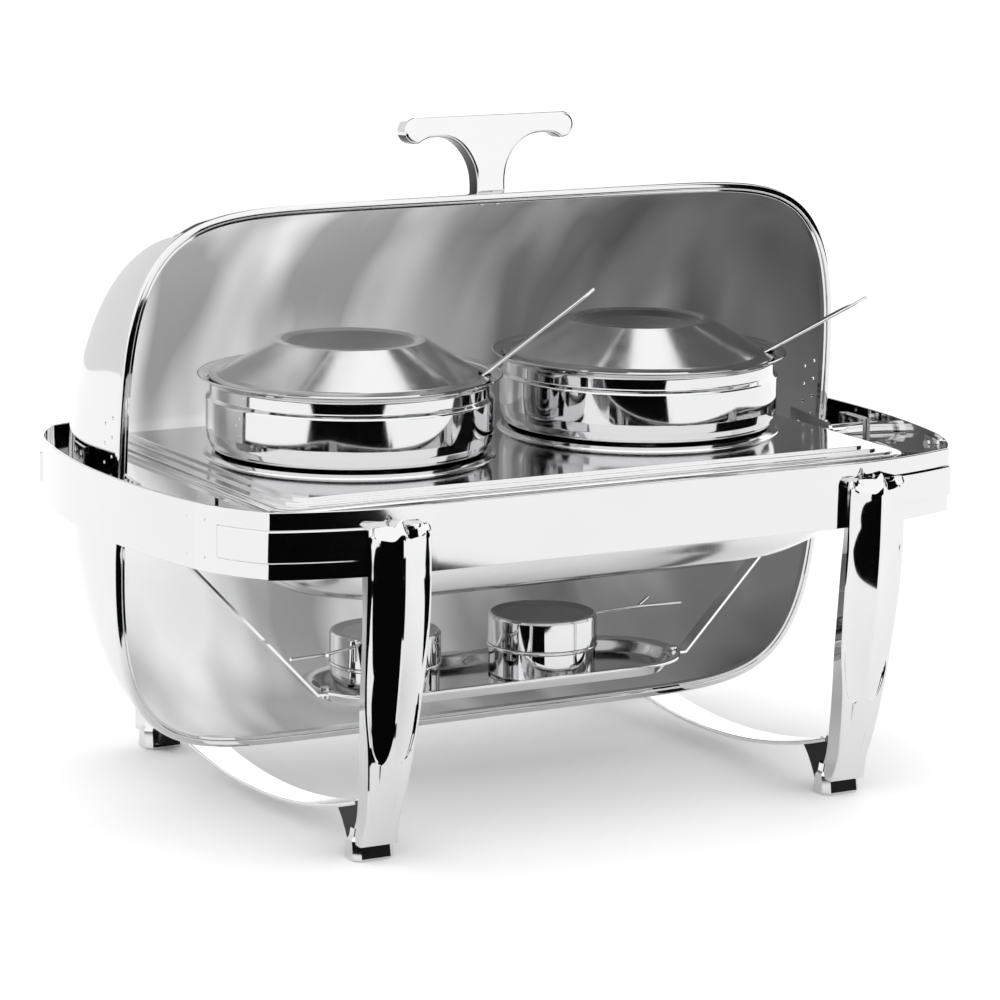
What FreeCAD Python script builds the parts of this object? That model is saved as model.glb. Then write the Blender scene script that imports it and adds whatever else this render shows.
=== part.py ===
"""Roll-top chafing dish food warmer with two soup pots, built as separate pieces.

The frame is +Z up, front towards -Y, origin on the table under the middle of the band.
All sizes are millimetres. The hood is drawn rolled open, turned back about the pivots.
"""

import FreeCAD, Part
import math
import os

V = FreeCAD.Vector
X_AXIS = V(1, 0, 0)
Y_AXIS = V(0, 1, 0)
Z_AXIS = V(0, 0, 1)
ORIGIN = V(0, 0, 0)
SIDES = {"left": -1, "right": 1}
ENDS = {"front": -1, "rear": 1}

doc = FreeCAD.newDocument("chafing_dish")

# ---------------------------------------------------------------- driving sizes

SIZES = {
    # oval band round the food pan
    "band_top": 270,
    "band_bottom": 220,
    "band_thick": 2,
    "rail_side": 221,
    "rail_half": 172,
    "corner_x": 295,
    "corner_y": 198,
    "seam_x": 327,
    "seam_y": 136,
    "bow_x": 342,
    "panel_proud": 2,
    "panel_low": 232,
    "panel_high": 257,
    "panel_front_x": 225,
    "panel_end_y": 156,
    "lap_half": 16,
    "rivet_radius": 2,
    # legs and stretchers
    "leg_x": 207,
    "foot_face": 195,
    "leg_lean": 41,
    "leg_bend_height": 220,
    "foot_width": 34,
    "foot_depth": 23,
    "foot_height": 17,
    "foot_corner": 5,
    "crest_height": 7,
    "rib_share": 0.86,
    "strap_width": 29,
    "strap_thick": 3,
    "strap_low": 12,
    "strap_radius": 588,
    "strap_end": 189,
    # hood pivots
    "pivot_height": 247,
    "pin_radius": 4,
    "pin_play": 0.05,
    "ear_outer": 312,
    "ear_thick": 3,
    "ear_half": 12,
    "sleeve_radius": 8,
    # carrier, water pan and adaptor plate
    "carrier_x": 276,
    "carrier_y": 172,
    "carrier_wide": 12,
    "carrier_top": 262,
    "carrier_deep": 6,
    "pan_wall": 1.2,
    "flange_x": 277,
    "flange_y": 173,
    "flange_corner": 20,
    "pan_x": 262,
    "pan_y": 160,
    "pan_corner": 40,
    "plate_x": 270,
    "plate_y": 167,
    "plate_top": 268,
    "plate_sheet": 1.5,
    "hole_radius": 104,
    # soup pots
    "pot_gap": 130,
    "pot_radius": 111.5,
    "pot_rim": 118,
    "pot_top": 331,
    "pot_base": 188,
    "pot_wall": 1.2,
    "pot_lid_radius": 109,
    "pot_lid_ring": 58.6,
    "pot_lid_rise": 30,
    "notch_width": 17,
    "notch_angle": -29.4,
    # fuel tray and burners
    "tray_half_length": 165,
    "tray_half_depth": 58,
    "tray_rim": 85,
    "tray_depth": 12,
    "tray_sheet": 1.5,
    "burner_radius": 44,
    "burner_height": 50,
    "burner_left_x": -98,
    "burner_right_x": 44,
    # hood
    "hood_half_length": 321,
    "hood_half_depth": 216,
    "hood_rise": 172,
    "hood_wall": 1.2,
    "bead_wide": 8,
    "bead_low": 12,
    "bead_high": 19,
    "hood_open": 85.3,
    "handle_half": 73,
    "handle_thick": 15,
    "handle_reach": 273,
}

sheet = doc.addObject("Spreadsheet::Sheet", "Sizes")
for row, (alias, value) in enumerate(SIZES.items(), start=1):
    sheet.set(f"A{row}", alias)
    sheet.set(f"B{row}", str(value))
    sheet.setAlias(f"B{row}", alias)
doc.recompute()


def size(alias):
    """A driving size, read from the sheet."""
    return float(sheet.get(alias))


pieces = {}


def piece(label, shape_object):
    """Register a finished sub-part under the name of its file."""
    shape_object.Label = label
    pieces[label] = shape_object
    return shape_object


def free_piece(label, shape, placement=FreeCAD.Placement()):
    """A sub-part whose shape comes straight from Part's own functions."""
    feature = doc.addObject("Part::Feature", label)
    feature.Shape = shape
    feature.Placement = placement
    return piece(label, feature)


def bind(target, **expressions):
    """Tie an object's properties to cells of the sheet."""
    for name, expression in expressions.items():
        target.setExpression(name.replace("__", "."), expression)


# ---------------------------------------------------------------- shape helpers


def mirrored_x(shape):
    return shape.mirror(ORIGIN, X_AXIS)


def mirrored_y(shape):
    return shape.mirror(ORIGIN, Y_AXIS)


def rod(radius, start, end):
    """A round bar between two points."""
    along = end - start
    return Part.makeCylinder(radius, along.Length, start, along)


def block(low, high):
    """A box between two opposite corners."""
    return Part.makeBox(high.x - low.x, high.y - low.y, high.z - low.z, low)


def prism(points, depth):
    """A flat polygon carried along a vector."""
    return Part.Face(Part.makePolygon(points + points[:1])).extrude(depth)


def rounded_rectangle(half_x, half_y, corner, z):
    """A closed wire with four straight sides and four round corners."""
    flat_x = half_x - corner
    flat_y = half_y - corner
    middle = corner * math.sqrt(0.5)
    edges = []
    turns = [(1, 1), (-1, 1), (-1, -1), (1, -1)]
    for index, (sx, sy) in enumerate(turns):
        start = V(sx * half_x, sy * flat_y, z)
        end = V(sx * flat_x, sy * half_y, z)
        if index % 2:
            start, end = end, start
        bend = V(sx * (flat_x + middle), sy * (flat_y + middle), z)
        nx, ny = turns[(index + 1) % 4]
        follow = V(nx * flat_x, ny * half_y, z)
        if index % 2:
            follow = V(nx * half_x, ny * flat_y, z)
        edges.append(Part.Arc(start, bend, end).toShape())
        edges.append(Part.LineSegment(end, follow).toShape())
    return Part.Wire(edges)


def slab(wire, height):
    return Part.Face(wire).extrude(V(0, 0, height))


def sketch_on(body, role, name):
    """A sketch laid on one of the body's own origin planes."""
    plane = [item for item in body.Origin.OriginFeatures if item.Role == role][0]
    sketch = body.newObject("Sketcher::SketchObject", name)
    sketch.AttachmentSupport = [(plane, "")]
    sketch.MapMode = "FlatFace"
    return sketch


def pin_down(sketch, line, axis, expression, value):
    """Hold the start of a line at a distance from the sketch's origin."""
    import Sketcher

    kind = "DistanceX" if axis == 0 else "DistanceY"
    own_axis = -2 if axis == 0 else -1
    if abs(value) < 1e-6:
        sketch.addConstraint(Sketcher.Constraint("PointOnObject", line, 1, own_axis))
        return
    index = sketch.addConstraint(Sketcher.Constraint(kind, -1, 1, line, 1, value))
    sketch.setExpression(f"Constraints[{index}]", expression)


def draw_outline(sketch, corners):
    """A closed outline of straight lines, every corner tied to the sheet."""
    import Sketcher

    values = [[float(sketch.evalExpression(text)) for text in corner] for corner in corners]
    points = [V(x, y, 0) for x, y in values]
    count = len(points)
    for index in range(count):
        sketch.addGeometry(Part.LineSegment(points[index], points[(index + 1) % count]))
    for index in range(count):
        after = (index + 1) % count
        sketch.addConstraint(Sketcher.Constraint("Coincident", index, 2, after, 1))
    for index, corner in enumerate(corners):
        for axis in (0, 1):
            pin_down(sketch, index, axis, corner[axis], values[index][axis])


def turned_body(label, corners):
    """A body turned about its own vertical axis from (radius, height) corners."""
    body = doc.addObject("PartDesign::Body", label)
    sketch = sketch_on(body, "XZ_Plane", label + "_profile")
    draw_outline(sketch, corners)
    turn = body.newObject("PartDesign::Revolution", label + "_turn")
    turn.Profile = sketch
    turn.ReferenceAxis = (sketch, ["V_Axis"])
    turn.Angle = 360
    body.Tip = turn
    return body


# ---------------------------------------------------------------- band round the pan


def circle_crossing(centre_a, radius_a, centre_b, radius_b, near):
    """Where two circles in the plan cross, on the side of a given point."""
    between = centre_b - centre_a
    span = between.Length
    along = (radius_a**2 - radius_b**2 + span**2) / (2 * span)
    aside = math.sqrt(radius_a**2 - along**2)
    foot = centre_a + between * (along / span)
    normal = V(-between.y, between.x, 0) * (aside / span)
    return min((foot + normal, foot - normal), key=lambda point: (point - near).Length)


def arc_between(centre, start, end):
    """The short arc about a centre from one point to another."""
    middle = (start + end) * 0.5 - centre
    middle.normalize()
    return Part.Arc(start, centre + middle * (start - centre).Length, end).toShape()


class BandPlan:
    """One quarter of the band's plan, at the left front, moved inwards by an offset."""

    def __init__(self, inward):
        rail_end = V(-size("rail_half"), -size("rail_side"), 0)
        corner = V(-size("corner_x"), -size("corner_y"), 0)
        seam = V(-size("seam_x"), -size("seam_y"), 0)
        drop = corner - rail_end
        wing_radius = (drop.x**2 + drop.y**2) / (2 * drop.y)
        self.wing_centre = rail_end + V(0, wing_radius, 0)
        bulge = size("bow_x") - size("seam_x")
        bow_radius = (size("seam_y") ** 2 + bulge**2) / (2 * bulge)
        self.bow_centre = V(bow_radius - size("bow_x"), 0, 0)
        inward_normal = self.bow_centre - seam
        inward_normal.normalize()
        chord = corner - seam
        end_radius = chord.Length**2 / (2 * chord.dot(inward_normal))
        self.end_centre = seam + inward_normal * end_radius
        self.rail_end = rail_end + V(0, inward, 0)
        self.seam = seam + inward_normal * inward
        self.wing_radius = wing_radius - inward
        self.bow_radius = bow_radius - inward
        self.end_radius = end_radius - inward
        self.corner = circle_crossing(
            self.wing_centre, self.wing_radius, self.end_centre, self.end_radius, corner
        )

    def on_wing(self, x):
        rise = math.sqrt(self.wing_radius**2 - (x - self.wing_centre.x) ** 2)
        return V(x, self.wing_centre.y - rise, 0)

    def on_end(self, y):
        reach = math.sqrt(self.end_radius**2 - (y - self.end_centre.y) ** 2)
        return V(self.end_centre.x - reach, y, 0)

    def on_bow(self, y):
        reach = math.sqrt(self.bow_radius**2 - (y - self.bow_centre.y) ** 2)
        return V(self.bow_centre.x - reach, y, 0)

    def casting_edges(self):
        return [
            arc_between(self.wing_centre, self.rail_end, self.corner),
            arc_between(self.end_centre, self.corner, self.seam),
        ]

    def panel_edges(self):
        start = self.on_wing(-size("panel_front_x"))
        end = self.on_end(-size("panel_end_y"))
        return [
            arc_between(self.wing_centre, start, self.corner),
            arc_between(self.end_centre, self.corner, end),
        ]

    def bow_edges(self):
        far_seam = V(self.seam.x, -self.seam.y, 0)
        return [Part.Arc(self.seam, self.on_bow(0), far_seam).toShape()]


def strip(outer_edges, inner_edges, low, high):
    """A standing strip between two runs of edges in the plan."""
    outer = Part.Wire(outer_edges)
    inner = Part.Wire(inner_edges)
    starts = outer.OrderedVertexes[0].Point, inner.OrderedVertexes[0].Point
    ends = outer.OrderedVertexes[-1].Point, inner.OrderedVertexes[-1].Point
    caps = [Part.LineSegment(*starts).toShape(), Part.LineSegment(*ends).toShape()]
    outline = Part.Wire(Part.__sortEdges__(outer.Edges + inner.Edges + caps))
    face = Part.Face(outline)
    face.translate(V(0, 0, low))
    return face.extrude(V(0, 0, high - low))


outside = BandPlan(0)
inside = BandPlan(size("band_thick"))
lap = BandPlan(2 * size("band_thick"))
proud = BandPlan(-size("panel_proud"))
band_low = size("band_bottom")
band_high = size("band_top")
band_mid = (band_low + band_high) / 2


def seam_rivet_places():
    """Centres of the two rivets each side of a seam, with the way out of the band."""
    places = []
    for offset in (-10, 10):
        for rise in (-14, 14):
            y = -size("seam_y") + offset
            level = V(0, 0, band_mid + rise)
            outer_point = outside.on_bow(y) if offset > 0 else outside.on_end(y)
            inner_point = lap.on_bow(y) if offset > 0 else lap.on_end(y)
            places.append((outer_point + level, inner_point + level))
    return places


def seam_rivets():
    """Rivets with flush shanks in the band and round heads on the inside."""
    flush = 0.3
    seat = 0.2
    head_end = 1.6
    solids = []
    for outer_point, inner_point in seam_rivet_places():
        along = inner_point - outer_point
        along.normalize()
        shank = rod(size("rivet_radius"), outer_point + along * flush, inner_point + along * seat)
        head = rod(size("rivet_radius") * 1.8, inner_point + along * seat, inner_point + along * head_end)
        solids.append(shank.fuse(head).removeSplitter())
    return solids


corner_rivets = seam_rivets()
casting = strip(outside.casting_edges(), inside.casting_edges(), band_low, band_high)
panel = strip(proud.panel_edges(), outside.panel_edges(), size("panel_low"), size("panel_high"))
casting = casting.fuse(panel).removeSplitter()
strap = strip(outside.bow_edges(), inside.bow_edges(), band_low, band_high)
lap_half = size("lap_half")
lap_edges = []
for plan in (inside, lap):
    before = plan.on_end(-size("seam_y") - lap_half)
    after = plan.on_bow(-size("seam_y") + lap_half)
    lap_edges.append(
        [
            arc_between(plan.end_centre, before, plan.seam),
            arc_between(plan.bow_centre, plan.seam, after),
        ]
    )
lap_margin = 4.0
lap_plate = strip(lap_edges[0], lap_edges[1], band_low + lap_margin, band_high - lap_margin)
for rivet in corner_rivets:
    casting = casting.cut(rivet)
    strap = strap.cut(rivet)
    strap = strap.cut(mirrored_y(rivet))
    lap_plate = lap_plate.cut(rivet)

corner_shapes = {
    ("front", "left"): casting,
    ("front", "right"): mirrored_x(casting),
    ("rear", "left"): mirrored_y(casting),
    ("rear", "right"): mirrored_x(mirrored_y(casting)),
}


def all_corners(shapes):
    """The same solids at the four corners of the frame."""
    copies = []
    for shape in shapes:
        copies += [shape, mirrored_x(shape), mirrored_y(shape), mirrored_x(mirrored_y(shape))]
    return Part.makeCompound(copies)


free_piece("seam_plates", all_corners([lap_plate]))
free_piece("seam_rivets", all_corners(corner_rivets))

# ---------------------------------------------------------------- legs


def leg_front(z):
    """How far the leg's front face stands in front of the middle, at a height."""
    left_over = max(0.0, 1 - z / size("leg_bend_height"))
    return size("foot_face") + size("leg_lean") * (1 - left_over**1.8)


LEG_STATIONS = [
    # height, width, depth, slant of the back, share of the crest's height, how far the top leans back
    (17, 31, 20, 0.0, 0.0, 0),
    (30, 27, 18, 0.0, 0.0, 0),
    (55, 32, 18, 0.0, 0.0, 0),
    (90, 39, 19, 0.0, 0.3, 0),
    (126, 47, 19, 0.0, 0.9, 0),
    (183, 52, 18, 0.0, 1.0, 0),
    (216, 52, 18, 2.4, 1.0, 0),
    (223, 52, 18.1, 2.4, 1.0, 0),
    (246, 51, 16.7, 2.4, 0.85, 1.5),
    (260, 50, 12.2, 2.4, 0.4, 6),
    (266, 47, 8.2, 2.4, 0.2, 10),
]


def crest_share(across):
    """How far the front face falls back from its middle crest: quickly at first, then less and less."""
    place = min(1.0, across / size("rib_share"))
    return 1 - (1 - place) ** 1.5


def leg_section(z, width, depth, slant, crest, lean):
    """One level of a leg: a middle crest with a slope on each side, straight sides and back."""
    half = width / 2
    front = -leg_front(z) + lean
    shoulder = 3.0
    back_share = 0.92
    points = []
    steps = 20
    for step in range(steps + 1):
        across = -1 + 2 * step / steps
        fall = size("crest_height") * crest * crest_share(abs(across))
        past_ridge = max(0.0, (abs(across) - size("rib_share")) / (1 - size("rib_share")))
        points.append(V(half * across, front + fall + shoulder * past_ridge**2, z))
    curve = Part.BSplineCurve()
    curve.interpolate(points)
    # the band curves away behind the leg, so the back follows it
    back_right = V(half * back_share, front + depth - slant, z)
    back_left = V(-half * back_share, front + depth + slant, z)
    return Part.Wire(
        [
            curve.toShape(),
            Part.LineSegment(points[-1], back_right).toShape(),
            Part.LineSegment(back_right, back_left).toShape(),
            Part.LineSegment(back_left, points[0]).toShape(),
        ]
    )


def strap_level(y):
    """Height of the underside of a stretcher at a place along its length."""
    radius = size("strap_radius")
    return size("strap_low") + radius - math.sqrt(radius**2 - y**2)


def foot_block():
    """The eight-sided foot under each leg."""
    half = size("foot_width") / 2
    front = -size("foot_face")
    back = front + size("foot_depth")
    cut = size("foot_corner")
    corners = [
        V(-half + cut, front, 0),
        V(half - cut, front, 0),
        V(half, front + cut, 0),
        V(half, back - cut, 0),
        V(half - cut, back, 0),
        V(-half + cut, back, 0),
        V(-half, back - cut, 0),
        V(-half, front + cut, 0),
    ]
    return prism(corners, V(0, 0, size("foot_height")))


def foot_web():
    """The curved web behind the foot that carries the end of the stretcher."""
    half = size("foot_width") / 2 - 8
    back = -size("foot_face") + size("foot_depth")
    inner_end = -150.0
    outer_end = -188.0
    toe_level = 6.0
    top_inner = V(-half, inner_end, strap_level(inner_end))
    top_outer = V(-half, outer_end, strap_level(outer_end))
    top_middle = (inner_end + outer_end) / 2
    heel = V(-half, outer_end, toe_level)
    toe = V(-half, back + 4, toe_level)
    hollow = V(-half, back + 11, toe_level + 13)
    edges = [
        Part.Arc(top_inner, V(-half, top_middle, strap_level(top_middle)), top_outer).toShape(),
        Part.LineSegment(top_outer, heel).toShape(),
        Part.LineSegment(heel, toe).toShape(),
        Part.Arc(toe, hollow, top_inner).toShape(),
    ]
    return Part.Face(Part.Wire(edges)).extrude(V(2 * half, 0, 0))


leg = Part.makeLoft([leg_section(*station) for station in LEG_STATIONS], True, False)
leg = leg.fuse([foot_block(), foot_web()]).removeSplitter()
leg_screw_heights = (232, 256)


def leg_screw(z):
    """A pan-head screw from inside the band into the back of a leg."""
    head_radius = 5.0
    shank_radius = 2.5
    inner_face = -size("rail_side") + size("band_thick")
    head = rod(head_radius, V(0, inner_face + 2.5, z), V(0, inner_face, z))
    shank = rod(shank_radius, V(0, inner_face, z), V(0, inner_face - 9, z))
    return head.fuse(shank).removeSplitter()


leg_screws = [leg_screw(z) for z in leg_screw_heights]
strap_screw_y = -168.0


def strap_screw():
    """A countersunk-looking screw through the stretcher's end into the web."""
    top = strap_level(strap_screw_y) + size("strap_thick")
    slope = math.asin(strap_screw_y / size("strap_radius"))
    normal = V(0, -math.sin(slope), math.cos(slope))
    centre = V(0, strap_screw_y, top)
    head_radius = 4.5
    shank_radius = 2.0
    head = rod(head_radius, centre + normal * 1.8, centre)
    shank = rod(shank_radius, centre, centre - normal * 12)
    return head.fuse(shank).removeSplitter()


web_screw = strap_screw()
leg_shift = V(-size("leg_x"), 0, 0)
placed_screws = [screw.translated(leg_shift) for screw in leg_screws]
placed_web_screw = web_screw.translated(leg_shift)
leg = leg.translated(leg_shift)
for screw in placed_screws + [placed_web_screw]:
    leg = leg.cut(screw)

leg_shapes = {
    ("front", "left"): leg,
    ("front", "right"): mirrored_x(leg),
    ("rear", "left"): mirrored_y(leg),
    ("rear", "right"): mirrored_x(mirrored_y(leg)),
}
for screw in placed_screws:
    for key, shape in corner_shapes.items():
        tool = screw if key[1] == "left" else mirrored_x(screw)
        tool = tool if key[0] == "front" else mirrored_y(tool)
        corner_shapes[key] = shape.cut(tool)
# the leg stands against the band, so what would enter the band is taken off its back
for key, shape in leg_shapes.items():
    leg_shapes[key] = shape.cut(corner_shapes[key])
for key, shape in corner_shapes.items():
    free_piece(f"corner_{key[0]}_{key[1]}", shape)
for key, shape in leg_shapes.items():
    free_piece(f"leg_{key[0]}_{key[1]}", shape)
free_piece("leg_screws", all_corners(placed_screws))
free_piece("stretcher_screws", all_corners([placed_web_screw]))


def stretcher():
    """A flat strap that sags in one long arc between a front and a rear leg."""
    half = size("strap_width") / 2
    end = size("strap_end")
    thick = V(0, 0, size("strap_thick"))
    low = [V(-half, y, strap_level(y)) for y in (-end, 0, end)]
    high = [point + thick for point in low]
    edges = [
        Part.Arc(*low).toShape(),
        Part.LineSegment(low[2], high[2]).toShape(),
        Part.Arc(high[2], high[1], high[0]).toShape(),
        Part.LineSegment(high[0], low[0]).toShape(),
    ]
    return Part.Face(Part.Wire(edges)).extrude(V(2 * half, 0, 0))


left_strap = stretcher().translated(leg_shift)
for tool in (placed_web_screw, mirrored_y(placed_web_screw)):
    left_strap = left_strap.cut(tool)
for end in ENDS:
    left_strap = left_strap.cut(leg_shapes[(end, "left")])
free_piece("stretcher_left", left_strap)
free_piece("stretcher_right", mirrored_x(left_strap))

# ---------------------------------------------------------------- rails between the castings

bracket_x = 120.0
bracket_half = 14.0
bracket_level = 238.0
front_screw_level = 246.0


def rail(label, side):
    """A straight rail between two corner castings, bored for the bracket rivets."""
    box = doc.addObject("Part::Box", label + "_bar")
    bind(
        box,
        Length="2 * Sizes.rail_half",
        Width="Sizes.band_thick",
        Height="Sizes.band_top - Sizes.band_bottom",
        Placement__Base__x="-Sizes.rail_half",
        Placement__Base__z="Sizes.band_bottom",
    )
    if side < 0:
        bind(box, Placement__Base__y="-Sizes.rail_side")
        return box
    bind(box, Placement__Base__y="Sizes.rail_side - Sizes.band_thick")
    return piece(label, box)


rail("rear_rail", 1)
front_bar = rail("front_rail", -1)

# ---------------------------------------------------------------- pan carrier and its brackets

carrier_low = size("carrier_top") - size("carrier_deep")
carrier_corner = 18.0
carrier_side = 9.0
carrier_outer = rounded_rectangle(size("carrier_x"), size("carrier_y"), carrier_corner, carrier_low)
carrier_inner = rounded_rectangle(
    size("carrier_x") - size("carrier_wide"),
    size("carrier_y") - carrier_side,
    carrier_corner - 6,
    carrier_low,
)
carrier = slab(carrier_outer, size("carrier_deep")).cut(slab(carrier_inner, size("carrier_deep")))
free_piece("pan_carrier", carrier)

bracket_sheet = 3.0
rail_inner = -size("rail_side") + size("band_thick")
carrier_front = -size("carrier_y")


def front_bracket(x):
    """A crank of sheet from the front rail to the underside of the carrier."""
    low = x - bracket_half
    high = x + bracket_half
    lip_top = bracket_level + 16
    shelf_low = bracket_level - bracket_sheet
    shelf_end = carrier_front + 7
    upright_rail = block(V(low, rail_inner, bracket_level), V(high, rail_inner + bracket_sheet, lip_top))
    shelf = block(V(low, rail_inner, shelf_low), V(high, shelf_end, bracket_level))
    upright = block(V(low, shelf_end - bracket_sheet, shelf_low), V(high, shelf_end, carrier_low))
    return upright_rail.fuse([shelf, upright]).removeSplitter()


def bracket_rivet(x):
    """A rivet that holds a front bracket to the rail, its head on the inside."""
    face = rail_inner + bracket_sheet
    radius = size("rivet_radius")
    shank = rod(radius, V(x, rail_inner - 1.7, front_screw_level), V(x, face, front_screw_level))
    head = rod(radius * 1.8, V(x, face, front_screw_level), V(x, face + 1.6, front_screw_level))
    return shank.fuse(head).removeSplitter()


rivet_spread = 7.0
rivets = []
for x in (-bracket_x, bracket_x):
    rivets += [bracket_rivet(x - rivet_spread), bracket_rivet(x + rivet_spread)]
brackets = []
for x in (-bracket_x, bracket_x):
    shape = front_bracket(x)
    for rivet in rivets:
        shape = shape.cut(rivet)
    brackets.append(shape)
free_piece("front_brackets", Part.makeCompound(brackets))
free_piece("bracket_rivets", Part.makeCompound(rivets))
rivet_holder = doc.addObject("Part::Feature", "front_rail_bores")
rivet_holder.Shape = Part.makeCompound(rivets)
front_rail = doc.addObject("Part::Cut", "front_rail")
front_rail.Base = front_bar
front_rail.Tool = rivet_holder
piece("front_rail", front_rail)

end_bracket_near = -58.0
end_bracket_far = -26.0
end_shelf = 225.0
arm_y = -15.0
arm_half = 6.0
arm_screw_x = -307.0
tray_screw_x = -158.0


def end_bracket():
    """A crank of sheet from the left end strap to the underside of the carrier."""
    near = end_bracket_near
    far = end_bracket_far
    strap_reach = inside.on_bow(near).x + 0.05
    upright_end = -size("carrier_x") + 6
    shelf_top = end_shelf + bracket_sheet
    shelf = block(V(strap_reach, near, end_shelf), V(upright_end, far, shelf_top))
    tab = block(V(strap_reach, near, end_shelf), V(strap_reach + bracket_sheet, far, end_shelf + 18))
    upright = block(V(upright_end - bracket_sheet, near, end_shelf), V(upright_end, far, carrier_low))
    arm_seat = block(V(arm_screw_x - 11, far, end_shelf), V(arm_screw_x + 11, arm_y + 7, shelf_top))
    return shelf.fuse([tab, upright, arm_seat]).removeSplitter()


def through_screw(x, y, top, bottom, radius=2.0):
    """A small screw with a round head on top and a nut underneath."""
    shank = rod(radius, V(x, y, top), V(x, y, bottom - 4))
    head = rod(radius * 2, V(x, y, top), V(x, y, top + 2))
    nut = rod(radius * 1.9, V(x, y, bottom - 3), V(x, y, bottom))
    return shank.fuse([head, nut]).removeSplitter()


arm_sheet = 2.0
arm_top = end_shelf
arm_screw = through_screw(arm_screw_x, arm_y, end_shelf + bracket_sheet, arm_top - arm_sheet)
left_end_bracket = end_bracket().cut(arm_screw)
free_piece("end_bracket_left", left_end_bracket)
free_piece("end_bracket_right", mirrored_x(left_end_bracket))

# ---------------------------------------------------------------- hood pivots on the band

pivot = V(0, 0, size("pivot_height"))


def on_pivot(x):
    return V(x, 0, size("pivot_height"))


bracket_face = -(size("bow_x") - size("band_thick") - 0.7)
plate_face = bracket_face + 3
sleeve_end = -(size("ear_outer") + 1.2)
pin_head_face = -(size("ear_outer") - size("ear_thick") - 0.1)
pin_head_end = pin_head_face + 4


def pivot_bracket():
    """A base plate on the band with a sleeve that carries the pivot pin."""
    wide = 18.0
    tall = 14.0
    plate = block(V(bracket_face, -wide, pivot.z - tall), V(plate_face, wide, pivot.z + tall))
    sleeve = rod(size("sleeve_radius"), on_pivot(plate_face), on_pivot(sleeve_end))
    bore = rod(size("pin_radius"), on_pivot(plate_face), on_pivot(sleeve_end + 1))
    return plate.fuse(sleeve).removeSplitter().cut(bore)


def pivot_pin():
    """A shouldered pin with its head inside the hood."""
    shank = rod(size("pin_radius"), on_pivot(plate_face), on_pivot(pin_head_face))
    head = rod(size("sleeve_radius"), on_pivot(pin_head_face), on_pivot(pin_head_end))
    return shank.fuse(head).removeSplitter()


def pivot_washer():
    """A washer between the hood's ear and the sleeve."""
    start = on_pivot(-(size("ear_outer") + 0.2))
    end = on_pivot(sleeve_end)
    return rod(size("sleeve_radius"), end, start).cut(rod(size("pin_radius"), end, start))




def plate_screw(y):
    """A small screw through a pivot's base plate into the band."""
    level = pivot.z - 9
    shank = rod(1.8, V(plate_face - 4.3, y, level), V(plate_face, y, level))
    head = rod(3.2, V(plate_face, y, level), V(plate_face + 1.8, y, level))
    return shank.fuse(head).removeSplitter()


bracket_screws = [plate_screw(-12), plate_screw(12)]
left_pivot_bracket = pivot_bracket()
for screw in bracket_screws:
    left_pivot_bracket = left_pivot_bracket.cut(screw)
    strap = strap.cut(screw)
free_piece("end_strap_left", strap)
free_piece("end_strap_right", mirrored_x(strap))
free_piece("pivot_bracket_left", left_pivot_bracket)
free_piece("pivot_bracket_right", mirrored_x(left_pivot_bracket))
free_piece("pivot_pin_left", pivot_pin())
free_piece("pivot_pin_right", mirrored_x(pivot_pin()))
free_piece("pivot_washers", Part.makeCompound([pivot_washer(), mirrored_x(pivot_washer())]))
pivot_screw_shapes = bracket_screws + [mirrored_x(screw) for screw in bracket_screws]
free_piece("pivot_screws", Part.makeCompound(pivot_screw_shapes))

# ---------------------------------------------------------------- water pan and adaptor plate

wall = size("pan_wall")
pan_x = size("pan_x")
pan_y = size("pan_y")
PAN_LEVELS = [
    # height, half length, half depth, corner radius
    (size("carrier_top"), pan_x, pan_y, size("pan_corner")),
    (225, pan_x - 8, pan_y - 6, 44),
    (200, pan_x - 24, pan_y - 16, 52),
    (183, pan_x - 48, pan_y - 34, 60),
    (174, pan_x - 80, pan_y - 60, 60),
]


def pan_body(inset, lift):
    """The smooth tub of the water pan, moved inwards and upwards for its inner face."""
    wires = []
    for height, half_x, half_y, corner in PAN_LEVELS:
        wires.append(rounded_rectangle(half_x - inset, half_y - inset, corner - inset, height + lift))
    return Part.makeLoft(wires, True, False)


flange_low = size("carrier_top")
flange_high = flange_low + wall
flange = rounded_rectangle(size("flange_x"), size("flange_y"), size("flange_corner"), flange_low)
mouth = rounded_rectangle(pan_x - wall, pan_y - wall, size("pan_corner") - wall, flange_low)
pan = pan_body(0, 0).fuse(slab(flange, wall)).cut(pan_body(wall, wall)).cut(slab(mouth, wall))
free_piece("water_pan", pan)

plate_sheet = size("plate_sheet")
plate_top = size("plate_top")


def step_plate():
    """The adaptor plate: a rim, two steps up to the deck and two round holes with collars."""
    half_x = size("plate_x")
    half_y = size("plate_y")
    rise = plate_top - flange_high
    rim = slab(rounded_rectangle(half_x, half_y, 16, flange_high), 2.0)
    riser = slab(rounded_rectangle(half_x - 12, half_y - 10, 12, flange_high), rise - 1.6)
    deck = slab(rounded_rectangle(half_x - 20, half_y - 17, 10, flange_high), rise)
    under = slab(rounded_rectangle(half_x - 24, half_y - 21, 8, flange_high), rise - plate_sheet)
    solid = rim.fuse([riser, deck]).cut(under)
    for side in (-1, 1):
        centre = V(side * size("pot_gap"), 0, flange_high)
        collar = Part.makeCylinder(size("hole_radius") + 10, rise + 3, centre)
        solid = solid.fuse(collar.cut(under))
        solid = solid.cut(Part.makeCylinder(size("hole_radius"), rise + 3, centre))
    return solid.removeSplitter()


free_piece("adaptor_plate", step_plate())

# ---------------------------------------------------------------- soup pots, lids and ladles

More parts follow.
